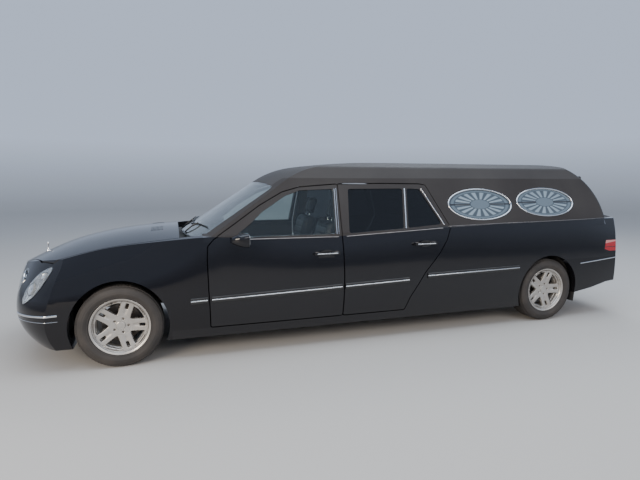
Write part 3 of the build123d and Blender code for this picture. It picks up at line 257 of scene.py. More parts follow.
def cover(material, *names):
    """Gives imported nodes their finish."""
    for name in names:
        data = nodes[name].data
        data.materials.clear()
        data.materials.append(material)


def dusty_paint(where, height):
    """Colour and roughness of lacquer with its film of dust."""
    cloud = where.noise(2.3, detail=6.0)
    speck = where.noise(160.0, detail=2.0)
    low = 1.0 - height.above(0.36, 0.24)
    film = (cloud * 0.5 + 0.5 * speck) * (low * 0.07 + 0.008)
    return colour(where, PAINT).mix((*DUST, 1), film), film * 1.2 + PAINT_ROUGHNESS


paint, shader, where = finish_of("black_lacquer")
along, across, height = where.axes()
base, rough = dusty_paint(where, height)
peel = where.noise(900.0, detail=1.0)
feed(shader, Base_Color=base, Roughness=rough, Normal=bump(where, peel, 0.03, 0.0006))
feed(shader, Coat_Weight=1.0, Specular_IOR_Level=0.0, **LACQUER)
cover(paint, "hood", "fender_left", "fender_right", "bumper_front", "bumper_rear", "tailgate")

# The raised roof and the rear quarters are covered in grained vinyl, glued over the steel. It is a
# dull charcoal brown, and ends along the belt; the same panels are lacquered below it.
VINYL = (0.030, 0.027, 0.027)
VINYL_WORN = (0.052, 0.048, 0.046)
VINYL_ROUGHNESS = 0.60
BELT = (
    # metres behind the front axle, height
    (0.65, 1.000), (1.80, 0.968), (2.89, 1.018), (3.47, 1.030), (4.82, 1.052),
)
MIRROR_START = 0.905
wheel_low, wheel_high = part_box("rim_front_left")
FRONT_AXLE = (wheel_low.x + wheel_high.x) / 2


def vinyl_cover(where):
    """Colour, roughness and grain height of the vinyl."""
    patch = where.noise(1.4, detail=5.0)
    hide = where.node("ShaderNodeTexVoronoi", {"Vector": where, "Scale": 420.0}, feature="SMOOTH_F1")
    grain = where.noise(650.0, detail=3.0)
    tone = colour(where, VINYL).mix((*VINYL_WORN, 1), patch.above(0.55, 0.18) * 0.55 + grain * 0.25)
    return tone, grain * 0.12 + VINYL_ROUGHNESS, hide * 0.7 + grain * 0.5


def belt_level(along):
    """Height of the belt at each place along the coach."""
    start, end = BELT[0][0], BELT[-1][0]
    made = along.node("ShaderNodeFloatCurve", {"Value": (along - FRONT_AXLE - start) / (end - start)})
    curve = made.output.node.mapping.curves[0]
    for place, level in BELT[1:-1]:
        curve.points.new((place - start) / (end - start), level / 2)
    curve.points[0].location = (0, BELT[0][1] / 2)
    curve.points[-1].location = (1, BELT[-1][1] / 2)
    made.output.node.mapping.update()
    return made * 2.0


vinyl, shader, where = finish_of("roof_vinyl")
tone, rough, grain = vinyl_cover(where)
feed(shader, Base_Color=tone, Roughness=rough, Normal=bump(where, grain, 0.35, 0.0012))
feed(shader, Specular_IOR_Level=0.35)
cover(vinyl, "roof")

for finish, sides in (("lacquer_below_vinyl", "body_side"), ("lacquer_below_frame", "door")):
    material, shader, where = finish_of(finish)
    along, across, height = where.axes()
    base, rough = dusty_paint(where, height)
    tone, dull, grain = vinyl_cover(where)
    if sides == "door":
        dull = dull - 0.18
        grain = grain * 0.2
    mirror_shell = across.maths("ABSOLUTE").above(MIRROR_START, 0.002)
    covered = (height - belt_level(along)).above(0.0, 0.0015) * (1.0 - mirror_shell)
    feed(shader, Base_Color=base.mix(tone, covered), Roughness=rough * (1.0 - covered) + dull * covered)
    feed(shader, Coat_Weight=1.0 - covered, Specular_IOR_Level=0.1, **LACQUER)
    feed(shader, Normal=bump(where, grain * covered, 0.35, 0.0012))
    cover(material, *[name for name in nodes if name.startswith(sides)])

# Chrome trims: plated strips pressed on the panels. Each follows the skin under it, found by casting
# rays at the panels, and is cut where one panel ends and the next begins.
CHROME_TONES = (0.78, 0.79, 0.80), (0.62, 0.63, 0.65)
DULL_TONES = (0.34, 0.32, 0.31), (0.20, 0.18, 0.17)
BLACK_TONES = (0.010, 0.010, 0.011), (0.022, 0.021, 0.020)
SIDES = (("left", -1), ("right", 1))
SIDE_PANELS = ("fender", "door_front", "door_rear", "body_side", "bumper_rear")
SIDE_TRIMS = (
    # title, track of (distance behind the front axle, height)
    ("moulding_front", ((0.530, 0.487), (2.470, 0.542))),
    ("moulding_rear", ((2.665, 0.568), (3.700, 0.587))),
)
BRIGHT_TRIMS = (
    # title, track, panels, height, thickness, lift off the skin, dull or bright
    ("tail_strip", ((4.488, 0.586), (5.030, 0.627)), SIDE_PANELS, 0.010, 0.007, 0.001, "bright"),
    ("vinyl_edge", (*BELT[2:], (4.96, 1.054)), ("body_side",), 0.005, 0.004, 0.0005, "dull"),
    ("front_sill_trim", ((0.99, 0.969), (1.79, 0.961)), ("door_front",), 0.007, 0.006, 0.001, "dull"),
    ("rear_sill_trim", ((1.865, 0.962), (2.83, 1.006)), ("door_rear",), 0.007, 0.006, 0.001, "dull"),
)
NOSE_LIFT = 0.001
NOSE_CENTRE = (-0.10, 0.35)  # distance behind the front axle, side reach
NOSE_TURNS = (math.atan2(0.25, -0.665), math.atan2(0.56, -0.33))
NOSE_TRIMS = (
    # title, height at the nose, height by the wheel, how tall it is
    ("nose_strip", 0.429, 0.454, 0.016),
    ("nose_line", 0.392, 0.408, 0.004),
)


def mottled(name, rgb, worn, roughness, scale, depth=0.0, grain=300.0, metallic=0.0, spread=0.12, **fixed):
    """A finish that wanders between two near colours, with a fine grain in its gloss and its relief."""
    material, shader, where = finish_of(name)
    cloud = where.noise(scale, detail=6.0)
    fine = where.noise(grain, detail=3.0)
    feed(shader, Base_Color=colour(where, rgb).mix((*worn, 1), cloud.above(0.5, 0.2) * 0.6 + fine * 0.2))
    feed(shader, Roughness=(cloud + fine) * spread + (roughness - spread), Metallic=metallic, **fixed)
    if depth:
        feed(shader, Normal=bump(where, fine, 0.4, depth))
    return material


chrome = mottled("plated_chrome", *CHROME_TONES, 0.10, 14.0, metallic=1.0, spread=0.05)
dull_trim = mottled("dull_trim", *DULL_TONES, 0.30, 14.0, metallic=0.9, spread=0.08)
moulding_black = mottled("moulding_plastic", *BLACK_TONES, 0.34, 9.0, depth=0.0003)
skins = {}


def station(distance):
    """X of a place, from its distance behind the front axle."""
    return FRONT_AXLE + distance


def skin_at(names, origin, direction):
    """The nearest point of some nodes along a ray, how the skin faces there, and the node's name."""
    best = None
    for name in names:
        if name not in skins:
            data = nodes[name].data
            corners = [corner.co for corner in data.vertices]
            skins[name] = BVHTree.FromPolygons(corners, [polygon.vertices for polygon in data.polygons])
        point, normal, index, distance = skins[name].ray_cast(Vector(origin), Vector(direction).normalized())
        if point is not None and (best is None or distance < best[3]):
            best = (point, normal if normal.dot(Vector(direction)) < 0 else -normal, name, distance)
    return best


def body_of(name):
    """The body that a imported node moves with."""
    bodies = frame["record"]["behaviour"]["bodies"]
    return next(body for body, held in bodies.items() if name in held)


def runs_along(names, rays, lift):
    """Rows of points lifted off the skin, each row on one node."""
    runs = []
    for origin, direction in rays:
        hit = skin_at(names, origin, direction)
        if hit is None:
            continue
        point = hit[0] + hit[1] * lift
        same = runs and runs[-1][0] == hit[2] and (runs[-1][1][-1] - point).length < 0.15
        if not same:
            runs.append((hit[2], []))
        runs[-1][1].append(point)
    return [(name, points) for name, points in runs if len(points) > 2]


def shares(count):
    """Even steps from 0 to 1."""
    return [step / (count - 1) for step in range(count)]


def side_rays(track, side, count):
    """Level rays at the coach's side along a track of (distance behind the front axle, height)."""
    rays = []
    for (start, low), (end, high) in zip(track, track[1:]):
        for share in shares(count):
            origin = (station(start + (end - start) * share), side * 2.0, low + (high - low) * share)
            rays.append((origin, (0, -side, 0)))
    return rays


def lay(line, points, thick):
    """One row of points in a trim; half the thickness is their radius, which scales the section."""
    spline = line.splines.new("POLY")
    spline.points.add(len(points) - 1)
    for corner, point in zip(spline.points, points):
        corner.co = (*point, 1)
        corner.radius = thick / 2
    return spline


def strip(name, points, tall, thick, material, body, closed=False):
    """A trim of rounded section along points, upright where it is taller than thick."""
    line = bpy.data.curves.new(name, "CURVE")
    line.dimensions = "3D"
    line.twist_mode = "Z_UP"
    line.extrude = (tall - thick) / thick
    line.bevel_depth = 1.0
    line.bevel_resolution = 2
    line.use_fill_caps = True
    lay(line, points, thick).use_cyclic_u = closed
    line.materials.append(material)
    made = standing(name, line)
    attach(made, body)
    return made


def trim_side(title, track, panels, tall, thick, lift, material, count=60):
    """The same trim on both sides of the coach, one piece for each panel that it crosses."""
    for word, side in SIDES:
        names = [f"{panel}_{word}" if f"{panel}_{word}" in nodes else panel for panel in panels]
        runs = runs_along(names, side_rays(track, side, count), lift)
        for index, (node, points) in enumerate(runs):
            strip(f"{title}_{word}_{index}", points, tall, thick, material, body_of(node))


for title, track in SIDE_TRIMS:
    trim_side(title, track, SIDE_PANELS, 0.052, 0.014, 0.003, moulding_black)
    trim_side(f"{title}_bright", track, SIDE_PANELS, 0.009, 0.006, 0.010, chrome)
for title, track, panels, tall, thick, lift, shine in BRIGHT_TRIMS:
    trim_side(title, track, panels, tall, thick, lift, chrome if shine == "bright" else dull_trim)

for word, side in SIDES:
    for title, low, high, tall in NOSE_TRIMS:
        rays = []
        for share in shares(50):
            turn = NOSE_TURNS[0] + (NOSE_TURNS[1] - NOSE_TURNS[0]) * share
            aim = Vector((math.cos(turn), side * math.sin(turn), 0))
            centre = Vector((station(NOSE_CENTRE[0]), side * NOSE_CENTRE[1], low + (high - low) * share))
            rays.append((centre + aim * 2, -aim))
        for index, (node, points) in enumerate(runs_along(("bumper_front",), rays, NOSE_LIFT)):
            strip(f"{title}_{word}_{index}", points, tall, min(tall, 0.009), chrome, body_of(node))

# Window posts: bright beads behind the front door's glass, between the rear door's panes and at the
# back of its quarter light, and chrome rings round the oval windows.
POSTS = (
    # title, node, lower end, upper end, radius
    ("front_bead", "door_front", (1.776, 0.985), (1.811, 1.373), 0.004),
    ("front_second_bead", "door_front", (1.795, 0.985), (1.829, 1.380), 0.0025),
    ("divider_bead", "door_rear", (2.455, 1.013), (2.517, 1.374), 0.007),
    ("quarter_bead", "door_rear", (2.862, 1.035), (2.692, 1.372), 0.005),
)
for title, node, low, high, radius in POSTS:
    trim_side(title, (low, high), (node,), 2 * radius, 2 * radius, radius * 0.2, chrome, count=24)

OVALS = (
    # distance behind the front axle, height, half length, half height
    (3.322, 1.216, 0.358, 0.142),
    (4.123, 1.229, 0.351, 0.135),
)
RING = 0.0075
for word, side in SIDES:
    for index, (place, level, half_length, half_height) in enumerate(OVALS):
        rays = []
        for step in range(96):
            turn = math.tau * step / 96
            x = station(place + (half_length + RING * 0.7) * math.cos(turn))
            z = level + (half_height + RING * 0.7) * math.sin(turn)
            rays.append(((x, side * 2.0, z), (0, -side, 0)))
        points = [skin_at((f"body_side_{word}",), *ray)[0] for ray in rays]
        strip(f"oval_ring_{word}_{index}", points, 2 * RING, 2 * RING, chrome, "root", closed=True)

# Glass. The screen and the front side panes are clear with a green cast; the rear panes are dark. The
# oval panes are opaque sand-blasted glass in pale blue-grey, fluted like a sunburst about a plain boss.
for name, tint, covered_nodes in (
    ("clear_glass", (0.70, 0.78, 0.76), ("windshield", "glass_front_left", "glass_front_right")),
    ("dark_glass", (0.06, 0.065, 0.07), ("glass_rear_left", "glass_rear_right", "glass_tailgate")),
):
    material, shader, where = finish_of(name)
    smear = where.noise(5.0, detail=5.0)
    shade = [value * 0.8 for value in tint]
    feed(shader, Base_Color=colour(where, tint).mix((*shade, 1), smear * 0.5))
    feed(shader, Roughness=smear.above(0.62, 0.1) * 0.05 + 0.01, Transmission_Weight=1.0, IOR=1.45)
    cover(material, *covered_nodes)

RAYS = 18
first_oval, second_oval = OVALS
pane, shader, where = finish_of("fluted_pane")
along, across, height = where.axes()
second = along.above(station((first_oval[0] + second_oval[0]) / 2), 0.001)
middle = second * (second_oval[0] - first_oval[0]) + station(first_oval[0])
level = second * (second_oval[1] - first_oval[1]) + first_oval[1]
reach = (along - middle) / first_oval[2]
rise = (height - level) / first_oval[3]
radius = (reach * reach + rise * rise).maths("SQRT")
turn = rise.maths("ARCTAN2", reach)
flute = (turn * RAYS).maths("COSINE")
flutes = flute.above(0.0, 0.5) * radius.above(0.34, 0.01) * (1.0 - radius.above(0.80, 0.01))
border = radius.above(0.84, 0.01) * (1.0 - radius.above(0.93, 0.01))
line = (1.0 - rise.maths("ABSOLUTE").above(0.055, 0.010)) * radius.above(0.32, 0.01)
boss = 1.0 - radius.above(0.30, 0.01)
cloud = where.noise(6.0, detail=5.0)
tone = colour(where, (0.040, 0.055, 0.068)).mix((0.21, 0.27, 0.32, 1), flutes * (cloud * 0.5 + 0.65))
tone = tone.mix((0.11, 0.145, 0.175, 1), boss * 0.8 + border * 0.8)
tone = tone.mix((0.01, 0.012, 0.015, 1), line)
feed(shader, Base_Color=tone, Roughness=cloud * 0.2 + flutes * 0.15 + 0.08)
feed(shader, Normal=bump(where, flutes + boss * 0.5, 0.4, 0.003), Coat_Weight=0.8, Coat_Roughness=0.03)
cover(pane, "oval_windows")

# Door handles: a bow in the door's paint with a plated insert, over a flat dark disc on the door skin that is
# painted shade for the recess behind the bow.
HANDLES = (
    # door, first end, last end, height
    ("door_front", 1.556, 1.786, 0.825),
    ("door_rear", 2.516, 2.746, 0.871),
)
SHADE_DISC_HALF = (0.066, 0.030)
SHADE_DISC_REACH = 0.9095


def new_object(name, shape, material, body, sharp=35):
    """An object from a bmesh, smooth but for its sharp edges, with its finish and body."""
    mesh = mesh_of(name, shape, material)
    mesh.set_sharp_from_angle(angle=math.radians(sharp))
    made = standing(name, mesh)
    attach(made, body)
    return made


for door, start, end, level in HANDLES:
    reach = (start + 0.022, level), (end - 0.022, level)
    trim_side(f"{door}_insert", reach, (door,), 0.008, 0.004, 0.001, chrome, count=20)
    for word, side in SIDES:
        # A flat disc in the dark plastic finish just off the skin: painted shade where the handle's recess
        # lies.
        shade_disc = bmesh.new()
        bmesh.ops.create_circle(shade_disc, cap_ends=True, segments=40, radius=1)
        bmesh.ops.scale(shade_disc, vec=(*SHADE_DISC_HALF, 1), verts=shade_disc.verts)
        upright = Matrix.Rotation(math.radians(90), 3, "X")
        bmesh.ops.rotate(shade_disc, cent=(0, 0, 0), matrix=upright, verts=shade_disc.verts)
        middle = (station((start + end) / 2), side * SHADE_DISC_REACH, level)
        bmesh.ops.translate(shade_disc, vec=middle, verts=shade_disc.verts)
        bmesh.ops.recalc_face_normals(shade_disc, faces=shade_disc.faces)
        new_object(f"{door}_{word}_cup", shade_disc, moulding_black, f"{door}_{word}_body")

# Door mirrors: the painted shell comes with the door; its glass is a silvered plate in a dark frame.
MIRROR_PLACE = (0.988, 0.958, 0.972)  # distance behind the front axle, side reach, height
FRAME_HALF = Vector((0.004, 0.060, 0.051))
GLASS_HALF = Vector((0, 0.054, 0.045))
GLASS_WALL = Vector((0.0055, 0, 0))
SILVER_TONES = (0.80, 0.82, 0.84), (0.72, 0.74, 0.76)
BEVEL = {"affect": "EDGES", "profile": 0.5, "material": -1}


def plate(low, high, radius, axis, edge=0.0):
    """A box whose four edges along an axis are rounded, and its other edges eased."""
    low, high = Vector(low), Vector(high)
    shape = bmesh.new()
    bmesh.ops.create_cube(shape, size=1)
    bmesh.ops.scale(shape, vec=high - low, verts=shape.verts)
    bmesh.ops.translate(shape, vec=(high + low) / 2, verts=shape.verts)
    uprights = []
    for line in shape.edges:
        run = line.verts[0].co - line.verts[1].co
        if abs(run[axis]) > 0.9 * run.length:
            uprights.append(line)
    bmesh.ops.bevel(shape, geom=uprights, offset=radius, segments=5, **BEVEL)
    if edge:
        rim = [line for line in shape.edges if line.is_manifold and line.calc_face_angle() > 1.2]
        bmesh.ops.bevel(shape, geom=rim, offset=edge, segments=2, **BEVEL)
    return shape


silver = mottled("silvered_glass", *SILVER_TONES, 0.04, 8.0, metallic=1.0, spread=0.02)
for word, side in SIDES:
    middle = Vector((station(MIRROR_PLACE[0]), side * MIRROR_PLACE[1], MIRROR_PLACE[2]))
    rim = plate(middle - FRAME_HALF, middle + FRAME_HALF, 0.030, 0, edge=0.003)
    new_object(f"mirror_frame_{word}", rim, moulding_black, f"door_front_{word}_body")
    glass = plate(middle - GLASS_HALF, middle + GLASS_HALF + GLASS_WALL, 0.026, 0)
    new_object(f"mirror_glass_{word}", glass, silver, f"door_front_{word}_body")

# Inner headlamps: on each side of the grille a bright dish with a bulb and a plated rim, in a grey
# housing, behind a clear cover that follows the car's skin. The skin round the outer lamps is painted.
INNER_LAMP = (0.470, 0.655, 0.080)  # side reach, height, dish radius
INNER_LIMIT = 0.545
DISH_DEPTH = 0.045
DISH_SINK = 0.016
BULB_RADIUS = 0.013
BULB_RISE = 0.016
LENS_WALL = 0.003
DISH_TONES = (0.88, 0.88, 0.88), (0.74, 0.75, 0.77)
HOUSING_TONES = (0.30, 0.31, 0.32), (0.22, 0.23, 0.24)
lens_clear, shader, where = finish_of("lamp_cover")
haze = where.noise(20.0, detail=5.0)
feed(shader, Base_Color=colour(where, (0.86, 0.88, 0.90)).mix((0.78, 0.80, 0.82, 1), haze))
feed(shader, Roughness=haze * 0.05 + 0.01, Transmission_Weight=1.0, IOR=1.25, Coat_Weight=0.6)
dish_silver = mottled("dish_silver", *DISH_TONES, 0.10, 30.0, metallic=1.0, spread=0.05)
lamp_grey = mottled("lamp_housing_grey", *HOUSING_TONES, 0.42, 12.0, depth=0.0004)


def lamp_part(keep):
    """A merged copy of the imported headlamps, with only the faces that are kept."""
    shape = bmesh.new()
    shape.from_mesh(nodes["headlamps"].data)
    bmesh.ops.remove_doubles(shape, verts=shape.verts, dist=1e-5)
    shape.normal_update()
    waste = [face for face in shape.faces if not keep(face)]
    bmesh.ops.delete(shape, geom=waste, context="FACES")
    return shape


def faces_out(face):
    """True on the lamp faces that follow the car's skin: they face forwards or to the side."""
    middle = face.calc_center_median()
    hit = skin_at(("headlamps",), middle + Vector((-2, 0, 0)), (1, 0, 0))
    return face.normal.x < -0.12 and hit is not None and (hit[0] - middle).length < 0.004


def inner_lamp(face):
    """True on the lamp nearer the car's middle."""
    return abs(face.calc_center_median().y) < INNER_LIMIT


lens = lamp_part(lambda face: faces_out(face) and inner_lamp(face))
bmesh.ops.solidify(lens, geom=lens.faces[:], thickness=LENS_WALL)
bmesh.ops.recalc_face_normals(lens, faces=lens.faces)
housing = lamp_part(lambda face: not faces_out(face))
bmesh.ops.reverse_faces(housing, faces=housing.faces)
surround = lamp_part(lambda face: faces_out(face) and not inner_lamp(face))
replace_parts(new_object("lamp_covers", lens, lens_clear, "root"), "headlamps")
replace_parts(new_object("lamp_housings", housing, lamp_grey, "root"), "headlamps")
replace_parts(new_object("lamp_surround", surround, paint, "root"), "headlamps")

for word, side in SIDES:
    reach, level, radius = INNER_LAMP
    point, normal, name, distance = skin_at(("headlamps",), (station(-2), side * reach, level), (1, 0, 0))
    facing = (normal + Vector((-1.2, 0, 0))).normalized()
    bowl = [(-DISH_DEPTH * (1 - share * share), radius * share) for share in (0.12, 0.3, 0.5, 0.7, 0.85, 1.0)]
    dish = bmesh.new()
    revolve(dish, bowl + [(0.0, radius + 0.005), (-0.006, radius + 0.006)], 40, closed=False)
    bulb_place = Matrix.Translation((0, 0, BULB_RISE - DISH_DEPTH))
    bmesh.ops.create_icosphere(dish, subdivisions=3, radius=BULB_RADIUS, matrix=bulb_place)
    turn = facing.to_track_quat("Z", "Y").to_matrix()
    bmesh.ops.rotate(dish, cent=(0, 0, 0), matrix=turn, verts=dish.verts)
    bmesh.ops.translate(dish, vec=point - facing * DISH_SINK, verts=dish.verts)
    new_object(f"lamp_dish_{word}_0", dish, dish_silver, "root")

# Outer headlamps: each is a slanted leaf round the nose's corner, a fluted and silvered reflector with
# two bowls under a clear cover that bulges a little from the skin.
LEAF_CENTRE = (0.020, 0.657)  # offset along the corner, height
LEAF_HALF = (0.172, 0.068)  # half length, half width
LEAF_TILT = math.radians(128)
LEAF_POINT = 0.22
COVER_SKIRT = 0.004
COVER_BULGE = 0.007
BOWLS = (
    # distance behind the front axle, reach to the side, height, radius
    (-0.602, 0.742, 0.632, 0.050),
    (-0.512, 0.757, 0.728, 0.032),
)


def leaf_on_skin(word, side, share, lift, bulge):
    """A leaf-shaped sheet on the nose's corner, a share of the lamp's size, lifted off the skin."""
    panels = (f"fender_{word}", "headlamps", "hood", "bumper_front")
    inward = Vector((0.6, -side * 0.8, 0))
    sideways = Vector((-0.8, -side * 0.6, 0))
    shape = bmesh.new()
    bmesh.ops.create_grid(shape, x_segments=40, y_segments=26, size=1)
    for corner in shape.verts:
        u = corner.co.x * math.sqrt(1 - corner.co.y ** 2 / 2)
        v = corner.co.y * math.sqrt(1 - corner.co.x ** 2 / 2) * (1 - LEAF_POINT * corner.co.x ** 2)
        rim = min(1.0, math.hypot(u, v))
        length, width = u * LEAF_HALF[0] * share, v * LEAF_HALF[1] * share
        offset = LEAF_CENTRE[0] + length * math.cos(LEAF_TILT) - width * math.sin(LEAF_TILT)
        level = LEAF_CENTRE[1] + length * math.sin(LEAF_TILT) + width * math.cos(LEAF_TILT)
        start = sideways * offset + Vector((station(0), 0, level)) - inward * 3
        hit = skin_at(panels, start, inward)
        corner.co = hit[0] + hit[1] * (lift + bulge * (1 - rim ** 6))
    inner = [corner for corner in shape.verts if not corner.is_boundary]
    every_way = {"use_axis_x": True, "use_axis_y": True, "use_axis_z": True}
    for settling in range(4):
        bmesh.ops.smooth_vert(shape, verts=inner, factor=0.5, **every_way)
    shape.normal_update()
    if sum(face.normal.y * side for face in shape.faces) < 0:
        bmesh.ops.reverse_faces(shape, faces=shape.faces)
    return shape


silvered, shader, where = finish_of("lamp_reflector")
along, across, height = where.axes()
half_space = where.node("ShaderNodeCombineXYZ", (along, across.maths("ABSOLUTE"), height))
shine = where.noise(24.0, detail=3.0)
flute = (along * 420.0 + height * 260.0).maths("SINE")
relief = flute * 0.25
# Painted reflection and shade on the reflector: dark blotches where the noise runs high, a dark ring at each
# bowl's edge and a dark spot at its middle.
dark = shine.above(0.60, 0.10) * 0.5
for distance, reach, level, radius in BOWLS:
    middle = (station(distance), reach, level)
    away = half_space.node("ShaderNodeVectorMath", (half_space, middle), output=1, operation="DISTANCE")
    bowl = 1.0 - away.above(radius, 0.002)
    relief = relief * (1.0 - bowl) + bowl * (away * away * (0.9 / radius ** 2))
    ring = away.above(radius * 0.92, 0.002) * (1.0 - away.above(radius * 1.06, 0.002))
    dark = dark * (1.0 - bowl) + ring * 0.7 + (1.0 - away.above(radius * 0.22, 0.002)) * 0.5
feed(shader, Base_Color=colour(where, (0.86, 0.85, 0.82)).mix((0.10, 0.10, 0.11, 1), dark))
feed(shader, Roughness=shine * 0.15 + 0.10, Metallic=0.85, Normal=bump(where, relief, 0.7, 0.012))
for word, side in SIDES:
    mirror = leaf_on_skin(word, side, 0.95, 0.0012, 0.0012)
    new_object(f"outer_lamp_reflector_{word}", mirror, silvered, "root")
    cover_glass = leaf_on_skin(word, side, 1.0, 0.0006, COVER_BULGE)
    rim = [line for line in cover_glass.edges if line.is_boundary]
    skirt = bmesh.ops.extrude_edge_only(cover_glass, edges=rim)["geom"]
    for corner in [part for part in skirt if isinstance(part, bmesh.types.BMVert)]:
        corner.co.y -= side * COVER_SKIRT
    new_object(f"outer_lamp_cover_{word}", cover_glass, lens_clear, "root")

# Tail lamps: ruby polycarbonate, moulded inside with fine ribs and small cells. A dark divider crosses
# each lamp, and a paler wedge on top is the turn signal.
RIBS_PER_LENGTH = 700.0
CELLS_PER_LENGTH = 150.0
tail_red, shader, where = finish_of("ruby_lens")
along, across, height = where.axes()
rib = (height * RIBS_PER_LENGTH).maths("SINE")
wedge = (height - (along - station(4.85)) * 0.12).above(0.782, 0.002)
tone = colour(where, (0.36, 0.004, 0.008)).mix((0.60, 0.24, 0.22, 1), wedge * 0.9)
columns = (across.maths("ABSOLUTE") * CELLS_PER_LENGTH).maths("SINE")
cells = columns * (height * CELLS_PER_LENGTH).maths("SINE")
divider = (height - 0.742).maths("ABSOLUTE").above(0.004, 0.001)
tone = colour(where, (0.03, 0.002, 0.003)).mix(tone, divider * 0.8 + 0.2)
feed(shader, Base_Color=tone, Roughness=where.noise(12.0) * 0.1 + 0.06, Coat_Weight=1.0, Coat_Roughness=0.02)
feed(shader, Normal=bump(where, cells + rib * 0.3, 0.35, 0.0015))
cover(tail_red, "tail_lamps")

# Tail door furniture: a plated grip strip over a blank plate between the lamps, and the dark housing of
# the catch and plate lamps on the ledge under the rear window.
BEHIND = 3.6
GRIP_HALF = 0.33
GRIP_HEIGHT = 0.850
blank_white = mottled("blank_plate", (0.62, 0.62, 0.58), (0.54, 0.54, 0.50), 0.45, 10.0)
rays = [((BEHIND, GRIP_HALF * (2 * share - 1), GRIP_HEIGHT), (-1, 0, 0)) for share in shares(40)]
for index, (node, points) in enumerate(runs_along(("tailgate",), rays, 0.002)):
    strip(f"tail_grip_{index}", points, 0.022, 0.012, chrome, "tailgate_body")
seat = skin_at(("tailgate",), (BEHIND, 0, 0.765), (-1, 0, 0))[0]
tag = plate((seat.x - 0.004, -0.26, 0.710), (seat.x + 0.006, 0.26, 0.820), 0.008, 0, edge=0.0015)
new_object("rear_plate", tag, blank_white, "tailgate_body")
ledge = skin_at(("tailgate",), (BEHIND, 0, 1.0), (-1, 0, 0))[0]
catch = plate((ledge.x - 0.02, -0.34, 0.955), (ledge.x + 0.036, 0.34, 1.062), 0.024, 1, edge=0.008)
new_object("tail_catch_housing", catch, moulding_black, "tailgate_body")

# Nose: plated grille shell and slats, a dark honeycomb core behind them, a plain turned and plated
# finial on the hood's lip, and a dark lower intake in the bumper.
cover(chrome, "grille")
FINIAL_PLACE = -0.650
FINIAL = (
    # height, radius
    (-0.008, 0.016), (-0.001, 0.0215), (0.004, 0.0205), (0.007, 0.013), (0.013, 0.0065), (0.024, 0.0042),
    (0.046, 0.0036), (0.054, 0.0058), (0.062, 0.0070), (0.069, 0.0058), (0.075, 0.0028), (0.078, 0.0),
)
INTAKE_PLACE = (-0.85, 0.275)  # distance behind the front axle, height
INTAKE_SIZE = (0.80, 0.085)


def onto_skin(shape, names, direction, lift):
    """Moves a flat shape's points along a direction until they meet the skin."""
    for corner in shape.verts:
        hit = skin_at(names, corner.co - Vector(direction) * 1.5, direction)
        if hit:
            corner.co = hit[0] + hit[1] * lift


foot = skin_at(("hood",), (station(FINIAL_PLACE), 0, 2), (0, 0, -1))[0]
finial = bmesh.new()
revolve(finial, FINIAL, 40, closed=False)
bmesh.ops.translate(finial, vec=foot, verts=finial.verts)
new_object("hood_finial", finial, chrome, "hood_body")

mesh_black, shader, where = finish_of("honeycomb_black")
comb = {"Vector": where, "Scale": 90.0, "Randomness": 0.25}
cell = where.node("ShaderNodeTexVoronoi", comb, feature="DISTANCE_TO_EDGE")
# The cells are painted near black as the shade inside openings that these flat plates lack; the lighter web
# between them is the plastic.
wire = 1.0 - cell.above(0.10, 0.03)
feed(shader, Base_Color=colour(where, (0.002, 0.002, 0.002)).mix((0.035, 0.035, 0.037, 1), wire))
feed(shader, Roughness=0.7 - wire * 0.25, Normal=bump(where, wire, 0.6, 0.004))
core_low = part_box("grille")[0]
core = plate((core_low.x + 0.075, -0.262, 0.445), (core_low.x + 0.095, 0.262, 0.745), 0.03, 0, edge=0.002)
for corner in core.verts:
    corner.co.x += max(0.0, corner.co.z - 0.6) * 0.42
new_object("grille_core", core, mesh_black, "hood_body")

intake = bmesh.new()
bmesh.ops.create_grid(intake, x_segments=40, y_segments=8, size=0.5)
bmesh.ops.scale(intake, vec=(*INTAKE_SIZE, 1), verts=intake.verts)
upright = Matrix(((0, 0, 1), (1, 0, 0), (0, 1, 0)))
bmesh.ops.rotate(intake, cent=(0, 0, 0), matrix=upright, verts=intake.verts)
bmesh.ops.translate(intake, vec=(station(INTAKE_PLACE[0]), 0, INTAKE_PLACE[1]), verts=intake.verts)
onto_skin(intake, ("bumper_front",), (1, 0, 0), 0.0008)
new_object("lower_intake", intake, mesh_black, "root")

# Cowl: two wipers of black plastic and rubber that stand on the apron at the screen's foot, and two
# rows of moulded louvres let into the hood's rear edge.
LOUVRES = 9
LOUVRE_START = 0.236
LOUVRE_PITCH = 0.0115
LOUVRE_INNER = 0.20
LOUVRE_STEP = 0.028
WIPERS = (
    # name, blade's first end, blade's last end, pivot: distance behind the front axle and side reach
    ("left", (0.700, -0.63), (0.590, -0.06), (0.520, -0.30)),
    ("right", (0.605, 0.05), (0.700, 0.60), (0.500, 0.36)),
)


def rows_of(name, rows, tall, thick, material, body):
    """Several trims of one section as one piece."""
    made = strip(name, rows[0], tall, thick, material, body)
    for row in rows[1:]:
        lay(made.data, row, thick)
    return made


for word, side in SIDES:
    rows = []
    for step in range(LOUVRES):
        place = station(LOUVRE_START + LOUVRE_PITCH * step)
        row = []
        for point in range(8):
            hit = skin_at(("hood",), (place, side * (LOUVRE_INNER + LOUVRE_STEP * point), 2), (0, 0, -1))
            row.append(hit[0] + Vector((0, 0, 0.0005)))
        rows.append(row)
    rows_of(f"hood_vents_{word}", rows, 0.006, 0.006, moulding_black, "hood_body")

